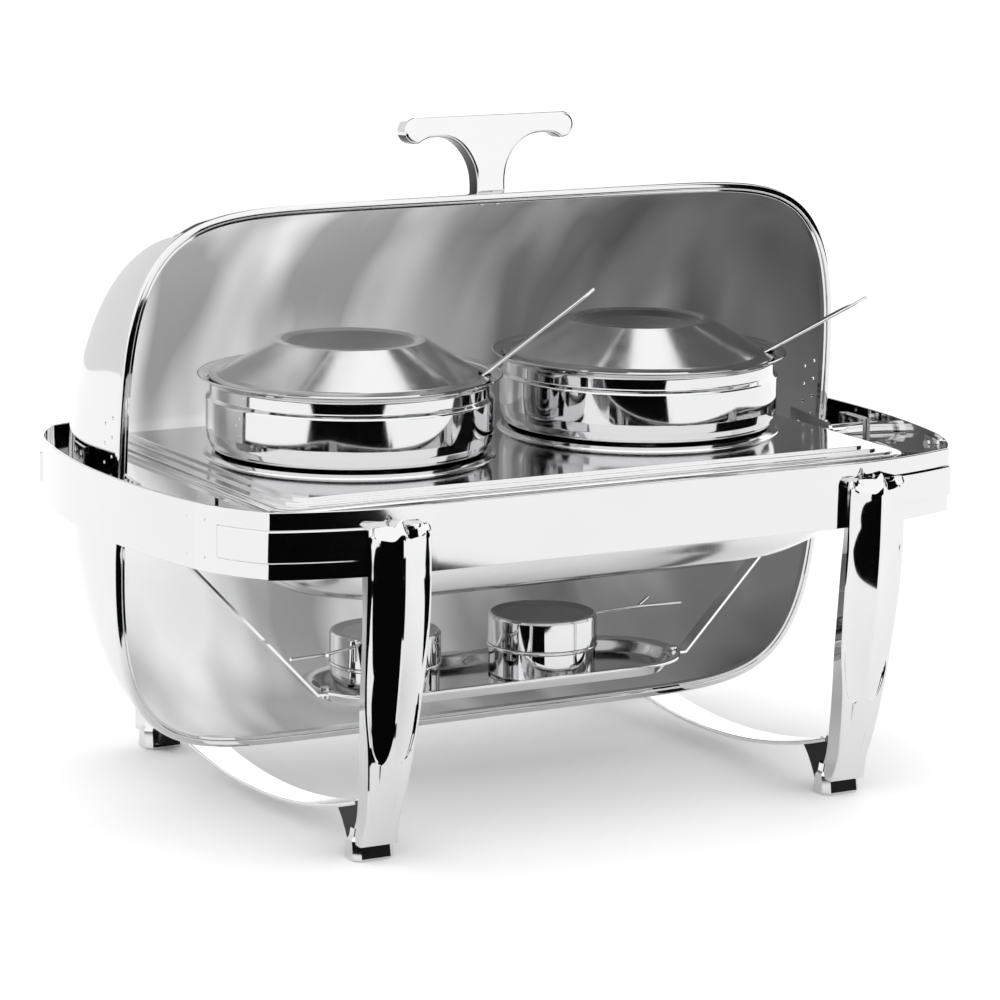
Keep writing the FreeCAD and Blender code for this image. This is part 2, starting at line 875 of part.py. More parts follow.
POT_PROFILE = [
    # outside of the pot from the middle of its base to its lip: radius, height
    ("78", "Sizes.pot_base"),
    ("88", "Sizes.pot_base + 6"),
    ("96", "Sizes.pot_base + 24"),
    ("102", "Sizes.plate_top + 3.2"),
    ("Sizes.pot_radius - 3", "Sizes.plate_top + 6"),
    ("Sizes.pot_radius - 0.8", "Sizes.plate_top + 14"),
    ("Sizes.pot_radius", "Sizes.plate_top + 19"),
    ("Sizes.pot_radius", "Sizes.pot_top - 18"),
    ("Sizes.pot_radius - 2.5", "Sizes.pot_top - 15"),
    ("Sizes.pot_radius - 2.5", "Sizes.pot_top - 6"),
    ("Sizes.pot_rim - 4", "Sizes.pot_top - 3.2"),
    ("Sizes.pot_rim", "Sizes.pot_top - 1.2"),
]


def pot(label, side):
    """A round soup pot of sheet steel that hangs in a hole of the adaptor plate."""
    outer = [("0", "Sizes.pot_base")] + POT_PROFILE
    inner = [(f"{radius} - Sizes.pot_wall", f"{height} + Sizes.pot_wall") for radius, height in POT_PROFILE]
    inner[-1] = ("Sizes.pot_rim", "Sizes.pot_top")
    inner[-2] = ("Sizes.pot_rim - 4.3", "Sizes.pot_top - 1.6")
    axis_top = [("0", "Sizes.pot_base + Sizes.pot_wall")]
    body = turned_body(label, outer + inner[::-1] + axis_top)
    body.setExpression("Placement.Base.x", f"{side} * Sizes.pot_gap")
    return piece(label, body)


LID_TOP = [
    # upper face of a pot's lid, from the middle outwards: radius, height above its seat
    ("0", "Sizes.pot_lid_rise - 8"),
    ("28", "Sizes.pot_lid_rise - 7"),
    ("42", "Sizes.pot_lid_rise - 4.5"),
    ("49", "Sizes.pot_lid_rise - 1.5"),
    ("54", "Sizes.pot_lid_rise"),
    ("Sizes.pot_lid_ring", "Sizes.pot_lid_rise - 0.3"),
    ("Sizes.pot_lid_ring + 5", "Sizes.pot_lid_rise - 3"),
    ("Sizes.pot_lid_radius - 8", "4"),
    ("Sizes.pot_lid_radius - 3", "2.6"),
    ("Sizes.pot_lid_radius", "2.4"),
]
pot_seat = "Sizes.pot_top - 4.2"


def pot_lid(label, side):
    """A coned lid with a dished middle and a notch in its edge for the ladle."""
    upper = [(radius, f"{pot_seat} + {height}") for radius, height in LID_TOP]
    lower = [(radius, f"{pot_seat} + {height} - 1.2") for radius, height in LID_TOP]
    body = turned_body(label + "_disc", upper + lower[::-1])
    body.setExpression("Placement.Base.x", f"{side} * Sizes.pot_gap")
    notch = doc.addObject("Part::Box", label + "_notch")
    bind(notch, Length="40", Width="Sizes.notch_width", Height="40")
    turn = FreeCAD.Rotation(Z_AXIS, size("notch_angle"))
    centre = V(side * size("pot_gap"), 0, size("pot_top") - 20)
    start = centre + turn.multVec(V(size("pot_lid_radius") - 19, -size("notch_width") / 2, 0))
    notch.Placement = FreeCAD.Placement(start, turn)
    cut = doc.addObject("Part::Cut", label)
    cut.Base = body
    cut.Tool = notch
    return piece(label, cut)


def ladle_run(start, end, width_start, width_end, thick, out):
    """A straight tapered strip of sheet between two points."""
    along = end - start
    along.normalize()
    aside = V(-out.y, out.x, 0)
    over = along.cross(aside) * -1
    ring = []
    for point, width in ((start, width_start), (end, width_end)):
        corners = []
        for a, b in ((-1, -1), (1, -1), (1, 1), (-1, 1)):
            corners.append(point + aside * (a * width / 2) + over * (b * thick / 2))
        ring.append(Part.makePolygon(corners + corners[:1]))
    return Part.makeLoft(ring, True, True)


LADLES = {
    # slope of the handle, and how far it reaches past the pot's middle
    "left": {"side": -1, "slope": 39.0, "reach": 187.0},
    "right": {"side": 1, "slope": 29.5, "reach": 181.0},
}
ladle_pass = 334.5
ladle_thick = 1.6
bend_width = 8.0
bowl_radius = 30.0
bowl_wall = 1.2


def ladle_path(spec):
    """Bowl end, bend and free end of a ladle's handle, and its way out of the pot."""
    angle = math.radians(size("notch_angle"))
    out = V(math.cos(angle), math.sin(angle), 0)
    centre = V(spec["side"] * size("pot_gap"), 0, 0)
    slope = math.tan(math.radians(spec["slope"]))

    def at(distance):
        height = ladle_pass + (distance - size("pot_lid_radius")) * slope
        return centre + out * distance + V(0, 0, height)

    bend = at(14.0)
    bowl_top = centre + out * (-22.0) + V(0, 0, 226.0)
    return bowl_top, bend, at(spec["reach"]), out


for side_name, spec in LADLES.items():
    bowl_top, bend, tip, out = ladle_path(spec)
    aside = V(-out.y, out.x, 0) * (bend_width / 2)
    lower = ladle_run(bowl_top, bend, 9, bend_width, ladle_thick, out)
    upper = ladle_run(bend, tip, bend_width, 11, ladle_thick, out)
    knee = rod(ladle_thick / 2, bend - aside, bend + aside)
    handle = lower.fuse([upper, knee]).removeSplitter()
    bowl_centre = bowl_top - out * (bowl_radius - 1.0)
    outer_ball = Part.makeSphere(bowl_radius, bowl_centre)
    inner_ball = Part.makeSphere(bowl_radius - bowl_wall, bowl_centre)
    beyond = V(bowl_radius, bowl_radius, bowl_radius)
    lower_half = block(bowl_centre - beyond, bowl_centre + V(bowl_radius, bowl_radius, 0))
    bowl = outer_ball.common(lower_half).cut(inner_ball)
    handle = handle.cut(outer_ball.common(lower_half))
    free_piece(f"ladle_handle_{side_name}", handle)
    free_piece(f"ladle_bowl_{side_name}", bowl)

for side_name, side in SIDES.items():
    pot(f"pot_{side_name}", side)
    pot_lid(f"pot_lid_{side_name}", side)

# ---------------------------------------------------------------- fuel tray and its hangers

tray_rim = size("tray_rim")
sheet_thick = size("tray_sheet")


def oblong(half_length, half_depth, z):
    """A closed wire with two straight sides and two half-round ends."""
    flat = half_length - half_depth
    return Part.Wire(
        [
            Part.LineSegment(V(-flat, -half_depth, z), V(flat, -half_depth, z)).toShape(),
            Part.Arc(V(flat, -half_depth, z), V(half_length, 0, z), V(flat, half_depth, z)).toShape(),
            Part.LineSegment(V(flat, half_depth, z), V(-flat, half_depth, z)).toShape(),
            Part.Arc(V(-flat, half_depth, z), V(-half_length, 0, z), V(-flat, -half_depth, z)).toShape(),
        ]
    )


def tray_tub(inset, lift):
    """The sunk middle of the tray between its floor and its rim."""
    low = tray_rim - size("tray_depth")
    half_length = size("tray_half_length")
    half_depth = size("tray_half_depth")
    wires = [
        oblong(half_length - 17 - inset, half_depth - 13 - inset, low + lift),
        oblong(half_length - 12 - inset, half_depth - 8 - inset, tray_rim + lift),
    ]
    return Part.makeLoft(wires, True, True)


tray_under = tray_rim - sheet_thick
tray = slab(oblong(size("tray_half_length"), size("tray_half_depth"), tray_under), sheet_thick)
tray = tray.fuse(tray_tub(0, 0)).cut(tray_tub(sheet_thick, sheet_thick)).removeSplitter()
hook_reach = -152.0


def tray_arm():
    """A bent strap from the end bracket down to the tip of the tray."""
    start = V(hook_reach, 0, tray_under)
    foot = V(-size("tray_half_length") - 2, 0, tray_under)
    shoulder = V(arm_screw_x + 5, 0, arm_top)
    end = V(arm_screw_x - 9, 0, arm_top)
    drop = V(0, 0, -arm_sheet)
    slip = V(-arm_sheet * 0.41, 0, -arm_sheet)
    points = [start, foot, shoulder, end, end + drop, shoulder + slip, foot + slip, start + drop]
    return prism([point + V(0, arm_y - arm_half, 0) for point in points], V(0, 2 * arm_half, 0))


tray_screw = through_screw(tray_screw_x, arm_y, tray_rim, tray_under - arm_sheet)
tray = tray.cut(tray_screw).cut(mirrored_x(tray_screw))
left_arm = tray_arm().cut(tray_screw).cut(arm_screw)
free_piece("fuel_tray", tray)
free_piece("tray_arm_left", left_arm)
free_piece("tray_arm_right", mirrored_x(left_arm))
arm_fasteners = [arm_screw, tray_screw, mirrored_x(arm_screw), mirrored_x(tray_screw)]
free_piece("tray_screws", Part.makeCompound(arm_fasteners))

# ---------------------------------------------------------------- burners

burner_floor = "(Sizes.tray_rim - Sizes.tray_depth + Sizes.tray_sheet)"
burner_mid = f"({burner_floor} + Sizes.burner_height * 0.52)"


def burner_cup(label, place):
    """The fuel cup: a plain drum with a rolled ring round its mouth."""
    radius = "Sizes.burner_radius"
    corners = [
        ("0", burner_floor),
        (f"{radius} - 3", burner_floor),
        (f"{radius} - 1", f"{burner_floor} + 2"),
        (f"{radius} - 1", f"{burner_mid} - 3"),
        (f"{radius} + 0.6", f"{burner_mid} - 2.4"),
        (f"{radius} + 0.6", f"{burner_mid} - 0.4"),
        (f"{radius} - 2.4", f"{burner_mid} - 0.4"),
        (f"{radius} - 2.4", f"{burner_floor} + 1.5"),
        ("0", f"{burner_floor} + 1.5"),
    ]
    body = turned_body(label, corners)
    body.setExpression("Placement.Base.x", place)
    return piece(label, body)


def burner_cover(label, place):
    """The cover: a shallow drum with a dished top that stands on the cup's ring."""
    radius = "Sizes.burner_radius"
    top = f"({burner_floor} + Sizes.burner_height)"
    corners = [
        ("0", f"{top} - 3.2"),
        (f"{radius} - 14", f"{top} - 2.6"),
        (f"{radius} - 5", f"{top} - 0.6"),
        (f"{radius} - 3", top),
        (f"{radius} - 1", f"{top} - 1"),
        (f"{radius}", f"{top} - 3"),
        (f"{radius}", f"{burner_mid} - 0.1"),
        (f"{radius} - 1.4", f"{burner_mid} - 0.1"),
        (f"{radius} - 1.4", f"{top} - 4.4"),
        (f"{radius} - 14", f"{top} - 4.1"),
        ("0", f"{top} - 4.7"),
    ]
    body = turned_body(label, corners)
    body.setExpression("Placement.Base.x", place)
    return piece(label, body)


def burner_wire():
    """The forked wire grip fixed to the side of a cover."""
    radius = size("burner_radius")
    height = tray_rim - size("tray_depth") + sheet_thick + size("burner_height") - 6
    thick = 1.3
    root = V(radius + thick, 0, height)
    fork = V(radius + 42, 0, height + 2)
    long_tip = V(radius + 78, -8, height + 4)
    short_tip = V(radius + 58, 12, height + 6)
    foot = V(radius + thick, 0, height - 12)
    runs = [(foot, root), (root, fork), (fork, long_tip), (fork, short_tip)]
    solids = [rod(thick, start, end) for start, end in runs]
    solids += [Part.makeSphere(thick, point) for point in (root, fork)]
    return solids[0].fuse(solids[1:]).removeSplitter()


BURNERS = {"left": ("Sizes.burner_left_x", -150.0), "right": ("Sizes.burner_right_x", -3.0)}
for side_name, (place, angle) in BURNERS.items():
    burner_cup(f"burner_cup_{side_name}", place)
    burner_cover(f"burner_cover_{side_name}", place)
    centre = V(size(f"burner_{side_name}_x"), 0, 0)
    grip_place = FreeCAD.Placement(centre, FreeCAD.Rotation(Z_AXIS, angle))
    free_piece(f"burner_grip_{side_name}", burner_wire(), grip_place)

# ---------------------------------------------------------------- hood, drawn shut and then rolled open

END_POWER = 8.5
SIDE_POWER = 3.6


def hood_curve(half_length, half_depth, share):
    """A point of the hood's rim line, share going from one end of the hood to the other."""
    angle = math.pi * share
    across = abs(math.cos(angle)) ** (2 / END_POWER) * math.copysign(1, math.cos(angle))
    deep = abs(math.sin(angle)) ** (2 / SIDE_POWER)
    return V(half_length * across, -half_depth * deep, 0)


def rim_curve(half_length, half_depth, side):
    """Half of the hood's rim line, from one end to the other on the front or the rear."""
    steps = 24
    points = []
    for step in range(steps + 1):
        point = hood_curve(half_length, half_depth, step / steps)
        points.append(V(point.x, side * -point.y, 0))
    points[0] = V(half_length, 0, 0)
    points[-1] = V(-half_length, 0, 0)
    curve = Part.BSplineCurve()
    tangent = V(0, side, 0)
    curve.interpolate(Points=points, InitialTangent=tangent * 400, FinalTangent=tangent * -400)
    return curve.toShape()


def rim_slab(half_length, half_depth, low, high):
    """A flat slab with the outline of the hood's rim."""
    halves = [rim_curve(half_length, half_depth, side) for side in (1, -1)]
    outline = Part.Wire(Part.__sortEdges__(halves))
    face = Part.Face(outline)
    face.translate(V(0, 0, low))
    return face.extrude(V(0, 0, high - low))


HOOD_STATIONS = (0.0, 0.3, 0.5, 0.65, 0.77, 0.86, 0.92, 0.957, 0.98, 0.992, 0.998)


def hood_section(place, half_length, half_depth, rise, skirt):
    """A half-oval slice across the hood, closed straight below its ends."""
    share = (1 - abs(place) ** END_POWER) ** (1 / SIDE_POWER)
    centre = V(place * half_length, 0, 0)
    deep = V(0, half_depth * share, 0)
    oval = Part.Ellipse(centre + deep, centre + V(0, 0, rise * share), centre)
    low = V(0, 0, -skirt)
    edges = [
        Part.ArcOfEllipse(oval, 0, math.pi).toShape(),
        Part.LineSegment(centre - deep, centre - deep + low).toShape(),
        Part.LineSegment(centre - deep + low, centre + deep + low).toShape(),
        Part.LineSegment(centre + deep + low, centre + deep).toShape(),
    ]
    return Part.Wire(edges)


def hood_solid(half_length, half_depth, rise, skirt):
    """Half-oval slices along the hood, joined smoothly from end wall to end wall."""
    places = [-share for share in HOOD_STATIONS[:0:-1]] + list(HOOD_STATIONS)
    sections = [hood_section(place, half_length, half_depth, rise, skirt) for place in places]
    return Part.makeLoft(sections, True, False)


bead_high = size("bead_high")
shell_inset = 3.0
outer_length = size("hood_half_length") - shell_inset
outer_depth = size("hood_half_depth") - shell_inset
hood_wall = size("hood_wall")
hood_rise = size("hood_rise")
outer_skirt = 2.0
inner_skirt = 10.0
outer_shell = hood_solid(outer_length, outer_depth, hood_rise, outer_skirt)
inner_shell = hood_solid(
    outer_length - hood_wall, outer_depth - hood_wall, hood_rise - hood_wall, inner_skirt
)
beyond_rim = V(size("hood_half_length"), size("hood_half_depth"), 0)
below = block(V(0, 0, -inner_skirt) - beyond_rim, beyond_rim)
hood = outer_shell.cut(inner_shell).cut(below)
hood.translate(V(0, 0, bead_high))

bead_low = size("bead_low")
mouth_length = size("hood_half_length") - size("bead_wide")
mouth_depth = size("hood_half_depth") - size("bead_wide")
bead = rim_slab(size("hood_half_length"), size("hood_half_depth"), bead_low, bead_high)
bead = bead.cut(rim_slab(mouth_length, mouth_depth, bead_low, bead_high))

vent_radius = 1.5
vent_pitch = 7.5
vent_first = 10.0
vent_rise = 38.0
vent_stagger = 6.5
for index in range(7):
    along = -(vent_first + vent_pitch * index)
    up = vent_rise + (vent_stagger if index % 2 else -vent_stagger)
    for side in (-1, 1):
        start = V(side * (outer_length - 14), along, up)
        hood = hood.cut(rod(vent_radius, start, start + V(side * 30, 0, 0)))

ear_rivet_rises = (29, 41)
outer_wall_x = HOOD_STATIONS[-1] * outer_length
inner_wall_x = HOOD_STATIONS[-1] * (outer_length - hood_wall)


def hood_ear():
    """The lug inside the left end of the hood that turns on the pivot pin."""
    outer = size("ear_outer")
    half = size("ear_half")
    ear_tall = 50.0
    spacer_radius = 5.0
    plate = block(V(-outer, -half, 0), V(-outer + size("ear_thick"), half, ear_tall))
    root = rod(half, V(-outer, 0, 0), V(-outer + size("ear_thick"), 0, 0))
    ear = plate.fuse(root)
    for rise in ear_rivet_rises:
        ear = ear.fuse(rod(spacer_radius, V(-outer, 0, rise), V(-inner_wall_x, 0, rise)))
    bore = rod(size("pin_radius") + size("pin_play"), V(-outer - 1, 0, 0), V(-outer + 9, 0, 0))
    return ear.removeSplitter().cut(bore)


ear_rivets = []
for rise in ear_rivet_rises:
    inner_end = V(-size("ear_outer") + size("ear_thick"), 0, rise)
    outer_end = V(-outer_wall_x, 0, rise)
    shank = rod(size("rivet_radius"), inner_end, outer_end)
    inner_head = rod(size("rivet_radius") * 1.8, inner_end, inner_end + V(1.6, 0, 0))
    outer_head = rod(size("rivet_radius") * 1.8, outer_end, outer_end - V(1.4, 0, 0))
    ear_rivets.append(shank.fuse([inner_head, outer_head]).removeSplitter())
left_ear = hood_ear()
for rivet in ear_rivets:
    left_ear = left_ear.cut(rivet)
    hood = hood.cut(rivet).cut(mirrored_x(rivet))

# handle, drawn flat in X and Y with its post against the front of the shut hood
handle_level = 37.0
handle_lean = -8.5
post_half = 10.5


def handle_outline():
    """A tee with a slim post that flares into a round-ended bar."""
    reach = -size("handle_reach")
    half = size("handle_half")
    thick = size("handle_thick")
    base = -outer_depth + 4.5
    bar_back = reach + thick
    end_round = thick / 2
    waist = V(post_half - 2, base - 16, 0)
    flare_end = V(44, bar_back + 0.5, 0)
    flare_mid = V(post_half + 6, bar_back + 12, 0)
    right = [
        Part.LineSegment(V(post_half, base, 0), waist).toShape(),
        Part.Arc(waist, flare_mid, flare_end).toShape(),
        Part.LineSegment(flare_end, V(half - end_round, bar_back, 0)).toShape(),
        Part.Arc(
            V(half - end_round, bar_back, 0),
            V(half, bar_back - end_round, 0),
            V(half - end_round, reach, 0),
        ).toShape(),
    ]
    left = [mirrored_x(edge) for edge in right]
    top = Part.LineSegment(V(half - end_round, reach, 0), V(-half + end_round, reach, 0)).toShape()
    foot = Part.LineSegment(V(-post_half, base, 0), V(post_half, base, 0)).toShape()
    return Part.Wire(Part.__sortEdges__(right + left + [top, foot]))


handle_deep = 16.0
handle = Part.Face(handle_outline()).extrude(V(0, 0, handle_deep))
handle.translate(V(0, 0, handle_level - handle_deep / 2))
handle.rotate(V(0, -outer_depth, handle_level), X_AXIS, handle_lean)
handle = handle.cut(outer_shell.translated(V(0, 0, bead_high)))


def handle_nut(x):
    """A dome nut inside the hood on a stud of the handle."""
    start = V(x, -outer_depth - 12, handle_level)
    wall_in = V(x, -outer_depth + 8.5, handle_level)
    stud = rod(2.5, start, wall_in)
    nut = rod(5, V(x, -outer_depth + 4.4, handle_level), wall_in + V(0, 1.5, 0))
    return stud, nut


handle_nuts = []
for x in (-7, 7):
    stud, nut = handle_nut(x)
    handle = handle.cut(stud)
    hood = hood.cut(stud)
    nut = nut.cut(hood)
    handle_nuts.append(stud.fuse(nut).removeSplitter())


rolled_open = FreeCAD.Placement(pivot, FreeCAD.Rotation(X_AXIS, -size("hood_open")))
all_ear_rivets = ear_rivets + [mirrored_x(rivet) for rivet in ear_rivets]
free_piece("hood_shell", hood, rolled_open)
free_piece("hood_bead", bead, rolled_open)
free_piece("hood_ear_left", left_ear, rolled_open)
free_piece("hood_ear_right", mirrored_x(left_ear), rolled_open)
free_piece("ear_rivets", Part.makeCompound(all_ear_rivets), rolled_open)
free_piece("hood_handle", handle, rolled_open)
free_piece("handle_nuts", Part.makeCompound(handle_nuts), rolled_open)

# ---------------------------------------------------------------- checks and files

doc.recompute()
for item in doc.Objects:
    state = " ".join(item.State)
    if "Invalid" in state or "Error" in state:
        raise RuntimeError(f"{item.Label} did not build: {state}")
for label, item in pieces.items():
    if item.Shape.isNull() or not item.Shape.isValid():
        raise RuntimeError(f"{label} has no valid shape")
    if not item.Shape.Solids:
        raise RuntimeError(f"{label} has no solid")

os.makedirs("parts", exist_ok=True)
for label, item in pieces.items():
    item.Shape.exportStep(f"parts/{label}.step")
    print(f"{label}: {len(item.Shape.Solids)} solid, {item.Shape.Volume / 1000:.1f} cm3")
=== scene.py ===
"""Looks of the roll-top chafing dish: fine meshes, polished steel, studio and camera."""

import math

import bmesh
import bpy
from mathutils import Matrix, Vector


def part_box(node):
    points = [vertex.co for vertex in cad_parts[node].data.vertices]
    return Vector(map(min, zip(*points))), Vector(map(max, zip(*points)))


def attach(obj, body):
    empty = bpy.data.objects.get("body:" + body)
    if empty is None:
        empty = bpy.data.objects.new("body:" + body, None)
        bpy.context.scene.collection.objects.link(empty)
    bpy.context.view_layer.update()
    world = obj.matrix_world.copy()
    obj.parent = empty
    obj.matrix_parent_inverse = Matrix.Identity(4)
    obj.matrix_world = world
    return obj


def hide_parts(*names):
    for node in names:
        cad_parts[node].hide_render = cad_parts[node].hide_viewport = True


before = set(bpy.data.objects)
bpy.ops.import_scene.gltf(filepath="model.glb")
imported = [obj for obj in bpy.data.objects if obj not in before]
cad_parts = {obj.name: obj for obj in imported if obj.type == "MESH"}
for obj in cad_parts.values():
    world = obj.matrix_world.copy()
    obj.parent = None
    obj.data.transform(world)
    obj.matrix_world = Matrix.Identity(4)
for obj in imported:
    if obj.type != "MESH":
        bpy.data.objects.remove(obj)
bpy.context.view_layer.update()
UP = Vector((0, 0, 1))
SIDES = {"left": -1, "right": 1}
ENDS = {"front": -1, "rear": 1}

# ---- camera

VIEW_AZIMUTH = math.radians(29.43)
VIEW_ELEVATION = math.radians(11.17)
VIEW_ROLL = math.radians(0.69)
VIEW_DISTANCE = 3.3005
VIEW_TARGET = Vector((0.0039, 0.0, 0.2184))
VIEW_RIGHT = Vector((math.cos(VIEW_AZIMUTH), -math.sin(VIEW_AZIMUTH), 0))
VIEW_AHEAD = Vector((math.sin(VIEW_AZIMUTH), math.cos(VIEW_AZIMUTH), 0))
LENS = 150.13


def add_camera():
    """A long lens from the left front, a little above the pots."""
    back = UP * math.sin(VIEW_ELEVATION) - VIEW_AHEAD * math.cos(VIEW_ELEVATION)
    up = back.cross(VIEW_RIGHT)
    side = VIEW_RIGHT * math.cos(VIEW_ROLL) + up * math.sin(VIEW_ROLL)
    top = up * math.cos(VIEW_ROLL) - VIEW_RIGHT * math.sin(VIEW_ROLL)
    data = bpy.data.cameras.new("camera")
    data.lens = LENS
    data.sensor_width = 36
    camera = bpy.data.objects.new("camera", data)
    turn = Matrix((side, top, back)).transposed().to_4x4()
    camera.matrix_world = Matrix.Translation(VIEW_TARGET + back * VIEW_DISTANCE) @ turn
    bpy.context.scene.collection.objects.link(camera)
    bpy.context.scene.camera = camera


add_camera()

# ---- materials


def add_node(material, kind, sockets, **settings):
    """A shader node whose sockets are set to values or linked to other nodes' outputs."""
    node = material.node_tree.nodes.new("ShaderNode" + kind)
    for key, value in settings.items():
        setattr(node, key, value)
    fill_sockets(material, node, sockets)
    return node


def fill_sockets(material, node, sockets):
    for key, value in sockets.items():
        if isinstance(value, bpy.types.NodeSocket):
            material.node_tree.links.new(value, node.inputs[key])
        else:
            node.inputs[key].default_value = value


def set_shader(material, sockets):
    fill_sockets(material, material.node_tree.nodes["Principled BSDF"], sockets)


def noise_over(material, stretch, grain, detail, turn=0.0):
    """Noise over the object, stretched and turned about Y."""
    place = add_node(material, "TexCoord", {}).outputs["Object"]
    mapping = add_node(material, "Mapping", {"Vector": place, "Scale": stretch, "Rotation": (0, turn, 0)})
    sockets = {"Vector": mapping.outputs["Vector"], "Scale": grain, "Detail": detail}
    return add_node(material, "TexNoise", sockets).outputs["Fac"]


def spread(material, value, low, high, floor=0.0, ceiling=1.0):
    """A value carried from one range to another."""
    sockets = {"Value": value, "From Min": low, "From Max": high, "To Min": floor, "To Max": ceiling}
    return add_node(material, "MapRange", sockets).outputs["Result"]


def multiplied(material, first, second):
    """The product of two colours."""
    sockets = {"Factor": 1, "A": first, "B": second}
    node = add_node(material, "Mix", sockets, data_type="RGBA", blend_type="MULTIPLY")
    return node.outputs["Result"]


def steel(name, tone, low, high, grain, stretch, detail=5):
    """Steel whose tone and roughness drift a little along its grain."""
    material = bpy.data.materials.new(name)
    material.use_nodes = True
    noise = noise_over(material, stretch, grain, detail)
    tint = add_node(material, "ValToRGB", {"Fac": noise})
    dark = [channel * 0.94 for channel in tone]
    tint.color_ramp.elements[0].color = (*dark, 1)
    tint.color_ramp.elements[1].color = (*tone, 1)
    rough = spread(material, noise, 0.3, 0.7, low, high)
    set_shader(material, {"Metallic": 1, "Roughness": rough, "Base Color": tint.outputs["Color"]})
    return material


def brushed(name, tone, low, high, amount):
    """Steel brushed in rings about an upright axis."""
    material = steel(name, tone, low, high, 60, (1, 1, 1))
    tangent = add_node(material, "Tangent", {}, direction_type="RADIAL", axis="Z")
    set_shader(material, {"Anisotropic": amount, "Tangent": tangent.outputs["Tangent"]})
    return material


def painted_lining_light(material, stations, painted_glow):
    """Paint light and shade on the hood lining: the steel's tone is painted bright at low X and dark
    towards high X, with painted soft streaks, and the same painted level glows as painted light.
    """
    shader = material.node_tree.nodes["Principled BSDF"]
    tint = shader.inputs["Base Color"].links[0].from_socket
    noise = noise_over(material, (7, 3, 1.6), 1.6, 2, math.radians(28))
    place = add_node(material, "TexCoord", {}).outputs["Object"]
    across = add_node(material, "SeparateXYZ", {"Vector": place}).outputs["X"]
    sway = add_node(material, "Math", {0: noise, 1: 0.3, 2: across}, operation="MULTIPLY_ADD")
    along = spread(material, sway.outputs["Value"], -0.17, 0.47)
    fall = add_node(material, "ValToRGB", {"Fac": along})
    ramp = fall.color_ramp
    ramp.interpolation = "EASE"
    while len(ramp.elements) < len(stations):
        ramp.elements.new(0.5)
    for element, (share, level) in zip(ramp.elements, stations):
        element.position = share
        element.color = (level, level, level, 1)
    # painted streaks of reflection that lighten and darken the painted level
    painted_streaks = spread(material, noise, 0.4, 0.6, 0.42, 1.1)
    level = multiplied(material, fall.outputs["Color"], painted_streaks)
    # painted glow: the lining emits its painted light level, though it is no lamp
    set_shader(material, {"Metallic": 0.55, "Emission Color": level, "Emission Strength": painted_glow})
    set_shader(material, {"Base Color": multiplied(material, tint, level)})


MIRROR = steel("mirror_steel", (0.7, 0.7, 0.705), 0.03, 0.055, 9, (1, 1, 1))
CASTING = steel("chromed_casting", (0.71, 0.71, 0.715), 0.035, 0.06, 14, (1, 1, 1))
# near-black steel that paints shade and dark reflections where the real steel only looks dark: the handle's
# flanks and underside, the feet's front panels and the webs
PAINTED_SHADE = steel("painted_shade_casting", (0.02, 0.02, 0.02), 0.15, 0.25, 30, (1, 1, 1))
INNER = steel("hood_lining", (0.95, 0.95, 0.955), 0.2, 0.27, 2.2, (1, 1, 0.35), detail=1)
# painted light on the lining: painted bright at the left, painted shade falling to 0.2 at the right, and a
# painted glow of strength 0.42
painted_lining_light(INNER, [(0.0, 1.0), (0.42, 0.92), (0.62, 0.5), (0.78, 0.26), (1.0, 0.2)], 0.42)
SPUN = brushed("spun_lid", (0.7, 0.7, 0.7), 0.1, 0.15, 0.7)
DISC = brushed("burner_top", (0.42, 0.42, 0.42), 0.28, 0.38, 0.6)
PLATE = steel("adaptor_steel", (0.8, 0.8, 0.805), 0.07, 0.12, 12, (0.3, 3, 1))
PAN = steel("pan_steel", (0.82, 0.82, 0.82), 0.12, 0.2, 8, (1, 1, 1))
FASTENER = steel("fastener_steel", (0.7, 0.7, 0.7), 0.12, 0.2, 90, (1, 1, 1))
STRAP = steel("strap_steel", (0.84, 0.84, 0.84), 0.08, 0.14, 25, (1, 0.2, 1))

# ---- mesh helpers


def add_piece(name, shape, materials, nodes=(), body="stand", sharp=32, slots=None):
    """A mesh of vertices and faces that stands for one or more nodes."""
    vertices, faces = shape
    mesh = bpy.data.meshes.new(name)
    mesh.from_pydata([tuple(v) for v in vertices], [], faces)
    mesh.validate()
    for material in materials:
        mesh.materials.append(material)
    if slots is not None:
        for polygon, index in zip(mesh.polygons, slots):
            polygon.material_index = index
    face_outwards(mesh)
    return mesh_piece(name, mesh, nodes, body, sharp)


def mesh_piece(name, mesh, nodes, body, sharp):
    """A smooth-shaded piece whose wide faces look flat up to their rounded edges."""
    mesh.shade_smooth()
    mesh.set_sharp_from_angle(angle=math.radians(sharp))
    piece = bpy.data.objects.new(name, mesh)
    bpy.context.scene.collection.objects.link(piece)
    flats = piece.modifiers.new("flats", "WEIGHTED_NORMAL")
    flats.keep_sharp = True
    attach(piece, body)
    if nodes:
        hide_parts(*nodes)
    return piece


def face_outwards(mesh):
    """Turn every face outwards."""
    work = bmesh.new()
    work.from_mesh(mesh)
    bmesh.ops.recalc_face_normals(work, faces=work.faces)
    work.to_mesh(mesh)
    work.free()


def bent(start, corner, end, share):
    """A place on the curve from start to end that bends towards the corner."""
    return start.lerp(corner, share).lerp(corner.lerp(end, share), share)


def eased(start, end, lead, follow, share):
    """A place on the way from start to end that leaves along lead and arrives along follow."""
    cube = share**3
    square = share**2
    leaving = start * (2 * cube - 3 * square + 1) + lead * (cube - 2 * square + share)
    return leaving + (end * (3 * square - 2 * cube) + follow * (cube - square))


